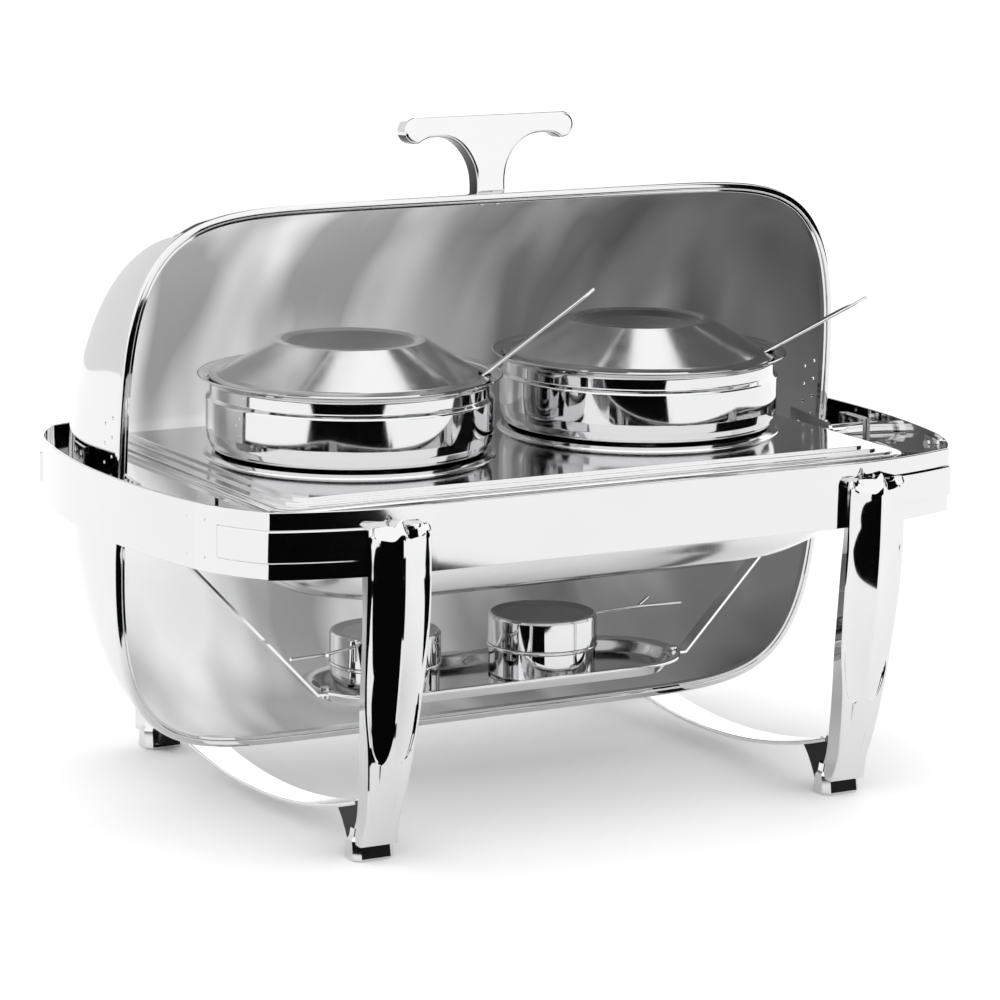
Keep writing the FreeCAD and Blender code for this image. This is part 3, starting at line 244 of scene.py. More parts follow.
def rounded_outline(points, radii, steps=4, closed=True):
    """Points of an outline with its corners rounded to the given radii."""
    result = []
    count = len(points)
    for index, point in enumerate(points):
        radius = radii[index] if isinstance(radii, (list, tuple)) else radii
        ends = not closed and index in (0, count - 1)
        here = Vector(point)
        if radius <= 0 or ends:
            result.append(here)
            continue
        to_last = Vector(points[index - 1]) - here
        to_next = Vector(points[(index + 1) % count]) - here
        turn = to_last.angle(to_next)
        back = min(radius / math.tan(turn / 2), to_last.length * 0.49, to_next.length * 0.49)
        start = here + to_last.normalized() * back
        end = here + to_next.normalized() * back
        result += [bent(start, here, end, step / steps) for step in range(steps + 1)]
    return result


def grid_faces(rows, columns, wrap_rows=False, wrap_columns=True):
    """Quads over a grid of points stored row by row."""
    faces = []
    for row in range(rows if wrap_rows else rows - 1):
        after = (row + 1) % rows
        for column in range(columns if wrap_columns else columns - 1):
            beside = (column + 1) % columns
            corners = (row * columns + column, row * columns + beside)
            faces.append((*corners, after * columns + beside, after * columns + column))
    return faces


def cap(row, columns, flipped=False):
    """One face across a row of grid points."""
    face = tuple(range(row * columns, (row + 1) * columns))
    return face[::-1] if flipped else face


def stacked(loops, heights):
    """The points of level outlines, one above the other."""
    return [Vector((x, y, height)) for loop, height in zip(loops, heights) for x, y in loop]


def dish(loops, heights, floor_row):
    """A shell of loops from its outside to its floor_row, and back below from the next loop."""
    columns = len(loops[0])
    faces = grid_faces(len(loops), columns, wrap_rows=True)
    faces = [face for face in faces if face[0] // columns != floor_row]
    faces += [cap(floor_row, columns), cap(floor_row + 1, columns, True)]
    return stacked(loops, heights), faces


def middle_of(vertices, face):
    return sum((vertices[index] for index in face), Vector()) / len(face)


def lathe(profile, centre_x, segments=144, centre_y=0.0):
    """Vertices and faces of a line of (radius, height) pairs turned about an upright axis."""
    vertices = []
    rings = []
    for radius, height in profile:
        count = 1 if radius < 1e-6 else segments
        rings.append(range(len(vertices), len(vertices) + count))
        reach = 0 if count == 1 else radius
        for segment in range(count):
            angle = 2 * math.pi * segment / segments
            x = centre_x + reach * math.cos(angle)
            y = centre_y + reach * math.sin(angle)
            vertices.append(Vector((x, y, height)))
    faces = []
    for low, high in zip(rings, rings[1:]):
        if len(low) == 1 and len(high) == 1:
            continue
        for segment in range(segments):
            after = (segment + 1) % segments
            if len(low) == 1:
                faces.append((low[0], high[after], high[segment]))
            elif len(high) == 1:
                faces.append((low[segment], low[after], high[0]))
            else:
                faces.append((low[segment], low[after], high[after], high[segment]))
    return vertices, faces


def sweep(origins, across, above, section, closed_path=False):
    """A closed section carried along points, each with its own two directions."""
    vertices = []
    for origin, side, up in zip(origins, across, above):
        for a, b in section:
            vertices.append(origin + side * a + up * b)
    rows = len(origins)
    columns = len(section)
    faces = grid_faces(rows, columns, wrap_rows=closed_path)
    if not closed_path:
        faces += [cap(0, columns), cap(rows - 1, columns, True)]
    return vertices, faces


def plan_normals(loop):
    """Level normals to the right of a closed run of points seen from above."""
    normals = []
    for index, before in enumerate(loop[-1:] + loop[:-1]):
        along = (loop[(index + 1) % len(loop)] - before).normalized()
        normals.append(Vector((along.y, -along.x, 0)))
    return normals


def rounded_rectangle(half_x, half_y, corner, steps=12):
    """Points of a rectangle with round corners, anticlockwise from the right front."""
    points = []
    for quarter, (sx, sy) in enumerate(((1, -1), (1, 1), (-1, 1), (-1, -1))):
        centre = (sx * (half_x - corner), sy * (half_y - corner))
        for step in range(steps + 1):
            angle = math.radians(-90 + 90 * quarter + 90 * step / steps)
            points.append((centre[0] + corner * math.cos(angle), centre[1] + corner * math.sin(angle)))
    return points


def curve_plate(name, outlines, thick, bevel, turn, material, nodes=(), body="stand", slot="", shaded=None):
    """A flat plate cut to closed outlines, with rounded edges, laid by a matrix."""
    data = bpy.data.curves.new(name, "CURVE")
    data.dimensions = "2D"
    data.fill_mode = "BOTH"
    data.extrude = thick / 2 - bevel
    data.bevel_depth = bevel
    data.bevel_resolution = 3
    for outline in outlines:
        spline = data.splines.new("POLY")
        spline.points.add(len(outline) - 1)
        for point, (x, y) in zip(spline.points, outline):
            point.co = (x, y, 0, 1)
        spline.use_cyclic_u = True
    source = bpy.data.objects.new(name + "_curve", data)
    mesh = bpy.data.meshes.new_from_object(source)
    bpy.data.objects.remove(source)
    mesh.materials.clear()
    mesh.materials.append(material)
    # faces picked by the given test get the near-black steel of painted shade
    if shaded:
        mesh.materials.append(PAINTED_SHADE)
        for polygon in mesh.polygons:
            polygon.material_index = 1 if shaded(polygon.normal, polygon.center) else 0
    mesh.transform(turn)
    return mesh_piece(name, mesh, nodes, body, 40)


def hole_outline(centre_x, radius, steps=120):
    """A round hole's outline, clockwise."""
    angles = [-2 * math.pi * step / steps for step in range(steps)]
    return [(centre_x + radius * math.cos(angle), radius * math.sin(angle)) for angle in angles]


# ---- hood

HOOD_OPEN = math.radians(85.3)
PIVOT = Vector((0, 0, 0.247))
OPEN_TURN = Matrix.Translation(PIVOT) @ Matrix.Rotation(-HOOD_OPEN, 4, "X")
END_POWER = 8.5
SIDE_POWER = 3.6
HOOD_LENGTH = 0.321
HOOD_DEPTH = 0.216
HOOD_RISE = 0.172
BEAD_LOW = 0.012
BEAD_HIGH = 0.019
SHELL_INSET = 0.003
SHELL_WALL = 0.0012
HOOD_ROWS = 241
HOOD_COLUMNS = 121


def run_lengths(points):
    """How far along a run of points each of them lies."""
    lengths = [0.0]
    for first, second in zip(points, points[1:]):
        lengths.append(lengths[-1] + (second - first).length)
    return lengths


def even_rim(half_length, half_depth, count):
    """Points spaced evenly on the front half of the rim line, from the right end to the left."""
    dense = []
    for step in range(4001):
        angle = math.pi * step / 4000
        across = abs(math.cos(angle)) ** (2 / END_POWER) * math.copysign(1, math.cos(angle))
        deep = abs(math.sin(angle)) ** (2 / SIDE_POWER)
        dense.append(Vector((half_length * across, half_depth * deep, 0)))
    lengths = run_lengths(dense)
    result = []
    index = 0
    for step in range(count):
        goal = lengths[-1] * step / (count - 1)
        while index < len(lengths) - 2 and lengths[index + 1] < goal:
            index += 1
        share = (goal - lengths[index]) / (lengths[index + 1] - lengths[index])
        result.append(dense[index].lerp(dense[index + 1], share))
    return result


def hood_skin(wall):
    """A grid of points over the hood, a wall inside its outer face: the rim turned over the top."""
    depth = HOOD_DEPTH - SHELL_INSET - wall
    points = []
    for place in even_rim(HOOD_LENGTH - SHELL_INSET - wall, depth, HOOD_ROWS):
        height = (HOOD_RISE - wall) * place.y / depth
        for step in range(HOOD_COLUMNS):
            angle = math.pi * step / (HOOD_COLUMNS - 1)
            rise = BEAD_HIGH + height * math.sin(angle)
            points.append(Vector((place.x, -place.y * math.cos(angle), rise)))
    return points


def build_hood():
    """The shell: polished outside, satin inside."""
    outer = hood_skin(0)
    offset = len(outer)
    outside = grid_faces(HOOD_ROWS, HOOD_COLUMNS, wrap_columns=False)
    inside = [tuple(offset + corner for corner in reversed(face)) for face in outside]
    rim = []
    for row in range(HOOD_ROWS - 1):
        for here in (row * HOOD_COLUMNS, (row + 1) * HOOD_COLUMNS - 1):
            after = here + HOOD_COLUMNS
            rim.append((here, after, offset + after, offset + here))
    vertices = [OPEN_TURN @ point for point in outer + hood_skin(SHELL_WALL)]
    slots = [0] * len(outside) + [1] * len(inside) + [0] * len(rim)
    shape = (vertices, outside + inside + rim)
    return add_piece("hood", shape, [MIRROR, INNER], ["hood_shell"], "hood", 60, slots)


def cut_vents(shell):
    """Drill the small steam vents near the pivots through both end walls."""
    mesh = bpy.data.meshes.new("vent_drills")
    work = bmesh.new()
    drill = {"cap_ends": True, "segments": 20, "radius1": 0.0015, "radius2": 0.0015, "depth": 0.03}
    for index in range(7):
        along = -0.01 - 0.0075 * index
        up = 0.038 + (0.0065 if index % 2 else -0.0065)
        for side in (-1, 1):
            centre = OPEN_TURN @ Vector((side * (HOOD_LENGTH - SHELL_INSET), along, up))
            place = Matrix.Translation(centre) @ Matrix.Rotation(math.pi / 2, 4, "Y")
            bmesh.ops.create_cone(work, matrix=place, **drill)
    work.to_mesh(mesh)
    work.free()
    drill = bpy.data.objects.new("vent_drills", mesh)
    bpy.context.scene.collection.objects.link(drill)
    cut = shell.modifiers.new("vents", "BOOLEAN")
    cut.operation = "DIFFERENCE"
    cut.object = drill
    cut.solver = "EXACT"
    bpy.context.view_layer.update()
    graph = bpy.context.evaluated_depsgraph_get()
    result = bpy.data.meshes.new_from_object(shell.evaluated_get(graph))
    shell.modifiers.clear()
    shell.data = result
    bpy.data.objects.remove(drill)


def build_bead():
    """The rolled bead round the hood's mouth, with a fine groove inside it."""
    half = even_rim(HOOD_LENGTH - 0.0042, HOOD_DEPTH - 0.0042, 260)
    loop = [Vector((point.x, -point.y, 0)) for point in half]
    loop += [Vector((point.x, point.y, 0)) for point in reversed(half[1:-1])]
    outward = plan_normals(loop)
    if outward[0].x < 0:
        outward = [-normal for normal in outward]
    middle = UP * (BEAD_LOW + BEAD_HIGH) / 2
    tall = (BEAD_HIGH - BEAD_LOW) / 2
    wide = 0.004
    corners = [
        (wide, tall),
        (wide, -tall + 0.0004),
        (-wide + 0.0028, -tall),
        (-wide + 0.0022, -tall + 0.0012),
        (-wide, -tall + 0.001),
        (-wide, tall),
    ]
    section = rounded_outline(corners, [0.0006, 0.003, 0.0012, 0.0003, 0.0004, 0.0004], 5)
    origins = [point + middle for point in loop]
    vertices, faces = sweep(origins, outward, [UP] * len(loop), section, True)
    vertices = [OPEN_TURN @ vertex for vertex in vertices]
    add_piece("rim_bead", (vertices, faces), [MIRROR], ["hood_bead"], "hood", sharp=40)


def smooth_run(points, steps=6):
    """An even curve through the given points."""
    result = []
    for index, (here, after) in enumerate(zip(points, points[1:])):
        lead = (after - points[max(0, index - 1)]) / 2
        follow = (points[min(len(points) - 1, index + 2)] - here) / 2
        result += [eased(here, after, lead, follow, step / steps) for step in range(steps)]
    return result + points[-1:]


HANDLE_LEVEL = 0.037
HANDLE_LEAN = math.radians(-8.5)
HANDLE_DEEP = 0.016
HANDLE_BEVEL = 0.0026
HANDLE_REACH = -0.2705
HANDLE_HALF = 0.0728
HANDLE_ROUND = 0.0078


def build_handle():
    """The tee handle: one casting, a round-ended bar that flows into a slim post."""
    end = Vector((HANDLE_HALF - HANDLE_ROUND, HANDLE_REACH + HANDLE_ROUND))
    angles = [math.radians(-90 + 190 * step / 16) for step in range(17)]
    right = [end + Vector((math.cos(angle), math.sin(angle))) * HANDLE_ROUND for angle in angles]
    under = [
        (0.056, -0.2588),
        (0.047, -0.2594),
        (0.039, -0.2588),
        (0.031, -0.2562),
        (0.0235, -0.251),
        (0.0176, -0.244),
        (0.0132, -0.236),
        (0.0108, -0.228),
        (0.01, -0.219),
        (0.0103, -0.2086),
    ]
    right += smooth_run([right.pop()] + [Vector(place) for place in under])
    outline = right + [Vector((-point.x, point.y)) for point in reversed(right)]
    foot = HOOD_DEPTH - SHELL_INSET
    lean = Matrix.Rotation(HANDLE_LEAN, 4, "X") @ Matrix.Translation((0, foot, 0))
    turn = OPEN_TURN @ Matrix.Translation((0, -foot, HANDLE_LEVEL)) @ lean

    # painted shade: the flanks of the post and the underside of the bar get the near-black steel, standing
    # in for the dark they only show by reflection
    def below(normal, place):
        flank = abs(normal.x) > 0.8 and place.y > HANDLE_REACH + 0.016
        return abs(normal.z) < 0.5 and (normal.y > 0.25 or flank)

    sheet = (HANDLE_DEEP, HANDLE_BEVEL, turn, CASTING)
    curve_plate("handle_casting", [outline], *sheet, ["hood_handle"], "hood", "chromed_casting", below)


cut_vents(build_hood())
build_bead()
build_handle()

# ---- band round the pan


def arc_points(centre, start, end, steps):
    """Points on a short arc, each with the normal away from its centre."""
    first = start - centre
    last = end - centre
    turn = first.angle(last)
    axis = first.cross(last).normalized()
    arms = [Matrix.Rotation(turn * step / steps, 3, axis) @ first for step in range(steps + 1)]
    return [(centre + arm, arm.normalized()) for arm in arms]


class BandPlan:
    """The quarter of the band at the left front, as points in plan with outward normals."""

    def __init__(self):
        rail_low, rail_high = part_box("front_rail")
        self.low = rail_low.z
        self.high = rail_high.z
        self.rail_end = Vector((rail_low.x, rail_low.y, 0))
        corner = Vector((-0.295, -0.198, 0))
        drop = corner - self.rail_end
        wing_radius = (drop.x**2 + drop.y**2) / (2 * drop.y)
        wing_centre = self.rail_end + Vector((0, wing_radius, 0))
        wing = arc_points(wing_centre, self.rail_end, corner, 40)
        seam = Vector((-0.327, -0.136, 0))
        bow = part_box("end_strap_left")[0].x
        bulge = seam.x - bow
        bow_radius = (seam.y**2 + bulge**2) / (2 * bulge)
        bow_centre = Vector((bow + bow_radius, 0, 0))
        self.bow = arc_points(bow_centre, seam, Vector((seam.x, -seam.y, 0)), 72)
        inward = (bow_centre - seam).normalized()
        chord = corner - seam
        end_centre = seam + inward * chord.length_squared / (2 * chord.dot(inward))
        end = arc_points(end_centre, corner, seam, 24)
        # wing and end together, with the corner between them slightly rounded
        blend = (wing[-1][1] + end[0][1]).normalized()
        self.casting = wing[:-1] + [(corner, blend)] + end[1:]


def mirror_points(points, sx, sy):
    flip = Matrix.Diagonal((sx, sy, 1))
    return [(flip @ point, flip @ normal) for point, normal in points]


def strip_piece(name, points, node, material):
    """A standing strip with softened edges that follows points in plan."""
    corners = [(0, plan.low), (0, plan.high), (-BAND_THICK, plan.high), (-BAND_THICK, plan.low)]
    section = rounded_outline(corners, 0.0007, 3)
    origins = [point for point, normal in points]
    across = [normal for point, normal in points]
    shape = sweep(origins, across, [UP] * len(points), section)
    add_piece(name, shape, [material], [node], sharp=50)


plan = BandPlan()
BAND_THICK = 0.002
PANEL_FRONT = -0.225
PANEL_END = -0.156
PANEL_LOW = 0.232
PANEL_HIGH = 0.257
PANEL_PROUD = 0.002
PANEL_BACK = -0.0004
PANEL_EDGE = 0.0018
# how far the panel's edge has come in, and how much of its height it has reached
PANEL_SLOPE = [(0.0, 0.0), (0.25, 0.75), (0.6, 1.0), (1.0, 1.0)]


def panel_points():
    """The stretch of the casting that carries the raised panel."""
    return [item for item in plan.casting if item[0].x <= PANEL_FRONT and item[0].y <= PANEL_END]


def build_panel(name, points):
    """A raised panel with sloping edges all round."""
    lengths = run_lengths([point for point, normal in points])
    row = [(PANEL_LOW + PANEL_EDGE * inset * 1.4, lift) for inset, lift in PANEL_SLOPE]
    row += [(PANEL_HIGH - PANEL_EDGE * inset * 1.4, lift) for inset, lift in reversed(PANEL_SLOPE)]
    vertices = []
    for (point, normal), along in zip(points, lengths):
        near = min(along, lengths[-1] - along)
        end_lift = math.sin(min(1.0, near / PANEL_EDGE) * math.pi / 2)
        for height, lift in row:
            stand = PANEL_BACK + (PANEL_PROUD - PANEL_BACK) * lift * end_lift
            vertices.append(point + normal * stand + UP * height)
    faces = grid_faces(len(points), len(row), wrap_columns=False)
    add_piece(name, (vertices, faces), [CASTING], sharp=28)


def build_band():
    """Rails, corner castings with their panels, and the bows at the ends."""
    for end_name, sy in ENDS.items():
        start = Vector((plan.rail_end.x, -plan.rail_end.y * sy, 0))
        places = [Vector((start.x * (1 - 2 * step / 40), start.y, 0)) for step in range(41)]
        points = [(place, Vector((0, sy, 0))) for place in places]
        strip_piece(f"{end_name}_rail_strip", points, f"{end_name}_rail", MIRROR)
        for side_name, sx in SIDES.items():
            node = f"corner_{end_name}_{side_name}"
            casting = mirror_points(plan.casting, -sx, -sy)
            strip_piece(node + "_casting", casting, node, CASTING)
            build_panel(node + "_panel", mirror_points(panel_points(), -sx, -sy))
    for side_name, sx in SIDES.items():
        strip_piece(f"{side_name}_bow", mirror_points(plan.bow, -sx, 1), f"end_strap_{side_name}", MIRROR)


build_band()

# ---- legs

LEG_X = 0.207
LEG_LOW = 0.013
LEG_TOP = 0.2585
LEG_PEAK = 0.2668
# how far each ring of the top shrinks, keeps its waves, and rises
LEG_CROWN = ((0.96, 0.95, 0.001), (0.86, 0.6, 0.0014), (0.55, 0.1, 0.0014))
LEG_STATIONS = [
    # height, width, depth, slant of the back, share of the crest's height, lean of the top
    (0.015, 0.031, 0.02, 0.0, 0.0, 0.0),
    (0.03, 0.0275, 0.018, 0.0, 0.0, 0.0),
    (0.055, 0.032, 0.018, 0.0, 0.0, 0.0),
    (0.09, 0.039, 0.019, 0.0, 0.3, 0.0),
    (0.126, 0.047, 0.019, 0.0, 0.9, 0.0),
    (0.183, 0.052, 0.018, 0.0, 1.0, 0.0),
    (0.223, 0.052, 0.0181, 0.0024, 1.0, 0.0),
    (0.248, 0.051, 0.018, 0.0024, 0.95, 0.0002),
    (0.256, 0.0505, 0.016, 0.0024, 0.7, 0.0022),
    (0.266, 0.047, 0.0082, 0.0024, 0.2, 0.01),
]


def smooth(value):
    value = min(1.0, max(0.0, value))
    return value * value * (3 - 2 * value)


def leg_size(height, column):
    """A column of the leg's stations at a height, with an easy curve between them."""
    height = max(height, LEG_STATIONS[0][0])
    last = len(LEG_STATIONS) - 1
    index = next(number for number in range(last) if height <= LEG_STATIONS[number + 1][0])
    lower = LEG_STATIONS[index]
    upper = LEG_STATIONS[index + 1]
    before = LEG_STATIONS[max(0, index - 1)]
    after = LEG_STATIONS[min(last, index + 2)]
    span = upper[0] - lower[0]
    lead = span * (upper[column] - before[column]) / (upper[0] - before[0])
    follow = span * (after[column] - lower[column]) / (after[0] - lower[0])
    return eased(lower[column], upper[column], lead, follow, (height - lower[0]) / span)


def leg_front(height):
    left_over = max(0.0, 1 - height / 0.22)
    return -(0.195 + 0.041 * (1 - left_over**1.8))


CREST_HEIGHT = 0.007
POCKET_TIP = 0.079
POCKET_FULL = 0.106
POCKET_EDGES = (0.035, 0.9)
POCKET_MIDDLE = 0.46
SLOPE_SHARE = 0.9
SHOULDER_SHARE = 0.93


def pocket_edges(height):
    """Where the hollow beside the crest starts and ends, as shares of the half width."""
    opening = min(1.0, max(0.0, (height - POCKET_TIP) / (POCKET_FULL - POCKET_TIP)))
    share = math.sqrt(opening * (2 - opening))
    near = POCKET_MIDDLE + (POCKET_EDGES[0] - POCKET_MIDDLE) * share
    far = POCKET_MIDDLE + 0.012 + (POCKET_EDGES[1] - POCKET_MIDDLE - 0.012) * share
    return near, far, share


def leg_columns(height):
    """Places across the right half of the leg's front, each with how far it falls behind the crest."""
    near, far, share = pocket_edges(height)
    ridge = CREST_HEIGHT * leg_size(height, 4)
    floor = (ridge + 0.0003 + 0.0024 * (1 - ridge / CREST_HEIGHT)) * share
    columns = []
    for step in range(5):
        place = near * step / 5
        columns.append((place, ridge * place * 0.25 * (1 - share)))
    start = columns[-1][1]
    for step in range(31):
        along = step / 30
        if along < SLOPE_SHARE:
            fall = floor * (1 - (1 - along / SLOPE_SHARE) ** 1.5)
        else:
            back = (along - SLOPE_SHARE) / (1 - SLOPE_SHARE)
            fall = floor + (ridge - floor) * smooth(back)
        fall = max(fall, ridge * (1 - share) * along)
        columns.append((near + (far - near) * along, start + fall))
    for step in range(1, 9):
        place = far + (1 - far) * step / 8
        round_off = max(0.0, (place - SHOULDER_SHARE) / (1 - SHOULDER_SHARE))
        columns.append((place, start + ridge + 0.0006 * round_off**2))
    return columns


def leg_top(across):
    """How much the top edge rises: a peak on the crest, shoulders on the ridges, dips between."""
    rib = math.exp(-(((across + 0.04) / 0.15) ** 2))
    ridge = math.exp(-(((abs(across) - 0.88) / 0.16) ** 2))
    return 0.0075 * rib + 0.003 * ridge - 0.0035


def build_leg(name, sx, sy, node):
    """A leg with a sharp middle crest between two long hollows that end in a rounded point."""
    count = 170
    back_steps = 6
    vertices = []
    for station in range(count + 1):
        height = LEG_LOW + (LEG_TOP - LEG_LOW) * station / count
        rise = smooth((height - 0.235) / 0.0235)
        half = leg_size(height, 1) / 2
        front_y = leg_front(height) + leg_size(height, 5)
        depth = leg_size(height, 2)
        slant = leg_size(height, 3)
        right_side = leg_columns(height)
        places = [(-across, fall) for across, fall in reversed(right_side[1:])] + right_side
        row = []
        for across, fall in places:
            row.append(Vector((half * across, front_y + fall, height + leg_top(across) * rise)))
        right = row[-1]
        left = row[0]
        back_right = Vector((right.x * 0.92, front_y + depth - slant, right.z))
        back_left = Vector((left.x * 0.92, front_y + depth + slant, left.z))
        row += [right.lerp(back_right, step / back_steps) for step in range(1, back_steps + 1)]
        row += [back_left.lerp(left, step / back_steps) for step in range(back_steps)]
        vertices += row
    columns = len(row)
    ring = vertices[-columns:]
    centre = sum(ring, Vector()) / len(ring)
    # the top closes over in shrinking rings
    for shrink, keep, lift in LEG_CROWN:
        for point in ring:
            arm = point - centre
            vertices.append(centre + Vector((arm.x * shrink, arm.y * shrink, arm.z * keep + lift)))
    rows = count + 1 + len(LEG_CROWN)
    faces = grid_faces(rows, columns) + [cap(rows - 1, columns), cap(0, columns, True)]
    vertices = [
        Vector((sx * LEG_X - sx * point.x, point.y * -sy, min(point.z, LEG_PEAK))) for point in vertices
    ]
    add_piece(name, (vertices, faces), [CASTING], [node], sharp=17)


def octagon(half_x, low_y, high_y, cut):
    right = [(half_x - cut, low_y), (half_x, low_y + cut), (half_x, high_y - cut), (half_x - cut, high_y)]
    loop = right + [(-x, y) for x, y in reversed(right)]
    return loop[-1:] + loop[:-1]


def build_foot(name, sx, sy):
    """The eight-sided foot, waisted into the leg above it."""
    levels = [
        # height, half width, how far the front face stands back
        (0.0, 0.0158, 0.0014),
        (0.0008, 0.0167, 0.0004),
        (0.0022, 0.017, 0.0001),
        (0.015, 0.0168, 0.0021),
        (0.0166, 0.0162, 0.003),
        (0.0182, 0.015, 0.0032),
        (0.024, 0.0138, 0.0034),
    ]
    loops = []
    heights = []
    for height, half, inset in levels:
        loop = octagon(half, -0.195 + inset, -0.172 - min(inset, 0.003), 0.005)
        loops.append([(sx * LEG_X + x, y * -sy) for x, y in loop])
        heights.append(height)
    columns = len(loops[0])
    faces = grid_faces(len(loops), columns) + [cap(0, columns), cap(len(loops) - 1, columns, True)]
    shape = (stacked(loops, heights), faces)
    foot = add_piece(name, shape, [CASTING, PAINTED_SHADE], sharp=14)
    # painted dark reflection: the front panel between the third and fourth level gets the near-black steel
    for face in foot.data.polygons:
        front = abs(face.normal.y) > 0.9 and abs(face.center.y) > 0.19
        if front and heights[2] < face.center.z < heights[3]:
            face.material_index = 1


STRAP_RADIUS = 0.588
STRAP_LOW = 0.012


def strap_level(y):
    """The height of the sagging stretcher between front and rear leg."""
    return STRAP_LOW + STRAP_RADIUS - math.sqrt(STRAP_RADIUS**2 - y**2)


def build_web(name, sx, sy):
    """The curved web behind the foot that carries the stretcher."""
    steps = 14
    along_strap = [-0.15 - 0.038 * step / steps for step in range(steps + 1)]
    outline = [(y, strap_level(y)) for y in along_strap]
    outline += [(-0.188, 0.006), (-0.168, 0.006)]
    toe = Vector((-0.168, 0.006))
    bend = Vector((-0.159, 0.024))
    end = Vector((-0.15, strap_level(-0.15)))
    outline += [bent(toe, bend, end, step / steps) for step in range(1, steps)]
    outline = [(-sy * y, z) for y, z in outline]
    stand_up = Matrix(((0, 0, 1, 0), (1, 0, 0, 0), (0, 1, 0, 0), (0, 0, 0, 1)))
    turn = Matrix.Translation((sx * LEG_X, 0, 0)) @ stand_up
    # painted shade: the whole web gets the near-black steel, for the dark it lies in behind the foot
    curve_plate(name, [outline], 0.018, 0.0012, turn, PAINTED_SHADE, slot="chromed_casting")


for end_name, sy in ENDS.items():
    for side_name, sx in SIDES.items():
        label = f"{end_name}_{side_name}"
        build_leg(f"leg_{label}_casting", sx, sy, f"leg_{label}")
        build_foot(f"foot_{label}", sx, sy)
        build_web(f"web_{label}", sx, sy)


def build_stretcher(side_name, sx):
    """A flat strap with soft edges, sagging between front and rear leg."""
    wide = 0.0145
    corners = [(-wide, 0), (wide, 0), (wide, 0.003), (-wide, 0.003)]
    section = rounded_outline(corners, 0.001, 3)
    origins = []
    above = []
    steps = 96
    for step in range(steps + 1):
        y = -0.1885 + 0.377 * step / steps
        origins.append(Vector((sx * LEG_X, y, strap_level(y))))
        slope = math.asin(y / STRAP_RADIUS)
        above.append(Vector((0, -math.sin(slope), math.cos(slope))))
    across = [Vector((1, 0, 0))] * len(origins)
    shape = sweep(origins, across, above, section)
    add_piece(f"strap_{side_name}", shape, [STRAP], [f"stretcher_{side_name}"], sharp=40)


for side_name, sx in SIDES.items():
    build_stretcher(side_name, sx)

# ---- pots, lids and ladles

POT_X = {"left": -0.13, "right": 0.13}
DECK = 0.268
SHEET = 0.0011
LADLE_TURN = math.radians(-29.4)
LADLE_OUT = Vector((math.cos(LADLE_TURN), math.sin(LADLE_TURN), 0))
LADLE_ASIDE = Vector((-LADLE_OUT.y, LADLE_OUT.x, 0))
NOTCH_END = 0.0925
NOTCH_HALF = 0.0082
LID_DISH = 0.0485
BOWL_RADIUS = 0.03


def shell_profile(outer, wall):
    """A turned sheet: an outer line of (radius, height), back along its inside."""
    inner = []
    for index, point in enumerate(outer):
        before = outer[max(0, index - 1)]
        after = outer[min(len(outer) - 1, index + 1)]
        along = (after - before).normalized()
        place = point + Vector((-along.y, along.x)) * wall
        inner.append(Vector((max(0.0, place.x), place.y)))
    inner[0].x = 0.0
    return outer + inner[::-1]


def soft_places(places, steps=5):
    """An open line through (radius, height, radius of the bend there)."""
    points = [place[:2] for place in places]
    return rounded_outline(points, [place[2] for place in places], steps, closed=False)


def build_pot(side_name):
    """The soup pot: flat base, straight body, a step, a wide polished ring, a neck and a flared lip."""
    low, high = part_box(f"pot_{side_name}")
    base, top = low.z, high.z
    ring = 0.1115
    # each place of the outer line with the radius of its bend
    places = [
        (0, base, 0),
        (0.078, base, 0.003),
        (0.088, base + 0.006, 0.006),
        (0.096, base + 0.024, 0.02),
        (0.102, DECK + 0.003, 0.004),
        (0.1075, DECK + 0.006, 0.004),
        (ring - 0.001, DECK + 0.013, 0.006),
        (ring, DECK + 0.02, 0.005),
        (ring, top - 0.0185, 0.0025),
        (ring - 0.0028, top - 0.0155, 0.0015),
        (ring - 0.0028, top - 0.006, 0.003),
        (0.1135, top - 0.003, 0.003),
        (0.1175, top - 0.0016, 0.001),
        (0.118, top - 0.0008, 0),
    ]
    shape = lathe(shell_profile(soft_places(places), SHEET), POT_X[side_name], 192)
    body = f"soup_pot_{side_name}"
    add_piece(body + "_body", shape, [MIRROR], [f"pot_{side_name}"], body, sharp=45)


def build_pot_lid(side_name):
    """The lid: a brushed cone with a raised ring, a dished middle and a notch in its edge."""
    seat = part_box(f"pot_lid_{side_name}")[1].z - 0.03
    ring = 0.0586
    edge = 0.109
    line = soft_places(
        [
            (0, seat + 0.0215, 0),
            (0.02, seat + 0.022, 0.02),
            (0.04, seat + 0.025, 0.01),
            (0.049, seat + 0.0285, 0.004),
            (0.0535, seat + 0.03, 0.003),
            (ring, seat + 0.0297, 0.003),
            (ring + 0.004, seat + 0.0272, 0.006),
            (edge - 0.0095, seat + 0.0042, 0.006),
            (edge - 0.006, seat + 0.003, 0.003),
            (edge, seat + 0.0025, 0),
        ],
        6,
    )
    under = [(radius, height - SHEET) for radius, height in line]
    centre = POT_X[side_name]
    vertices, faces = lathe(line + under[::-1], centre, 240)
    # the notch: the faces at the edge in the ladle's way are left out
    kept = []
    slots = []
    for face in faces:
        middle = middle_of(vertices, face)
        arm = Vector((middle.x - centre, middle.y, 0))
        if arm.dot(LADLE_OUT) > NOTCH_END and abs(arm.dot(LADLE_ASIDE)) < NOTCH_HALF:
            continue
        kept.append(face)
        slots.append(1 if arm.length < LID_DISH else 0)
    body = f"pot_cover_{side_name}"
    node = f"pot_lid_{side_name}"
    add_piece(body + "_disc", (vertices, kept), [SPUN, DISC], [node], body, sharp=35, slots=slots)


LADLES = {
    "left": {"slope": 39.0, "reach": 0.187},
    "right": {"slope": 29.5, "reach": 0.181},
}


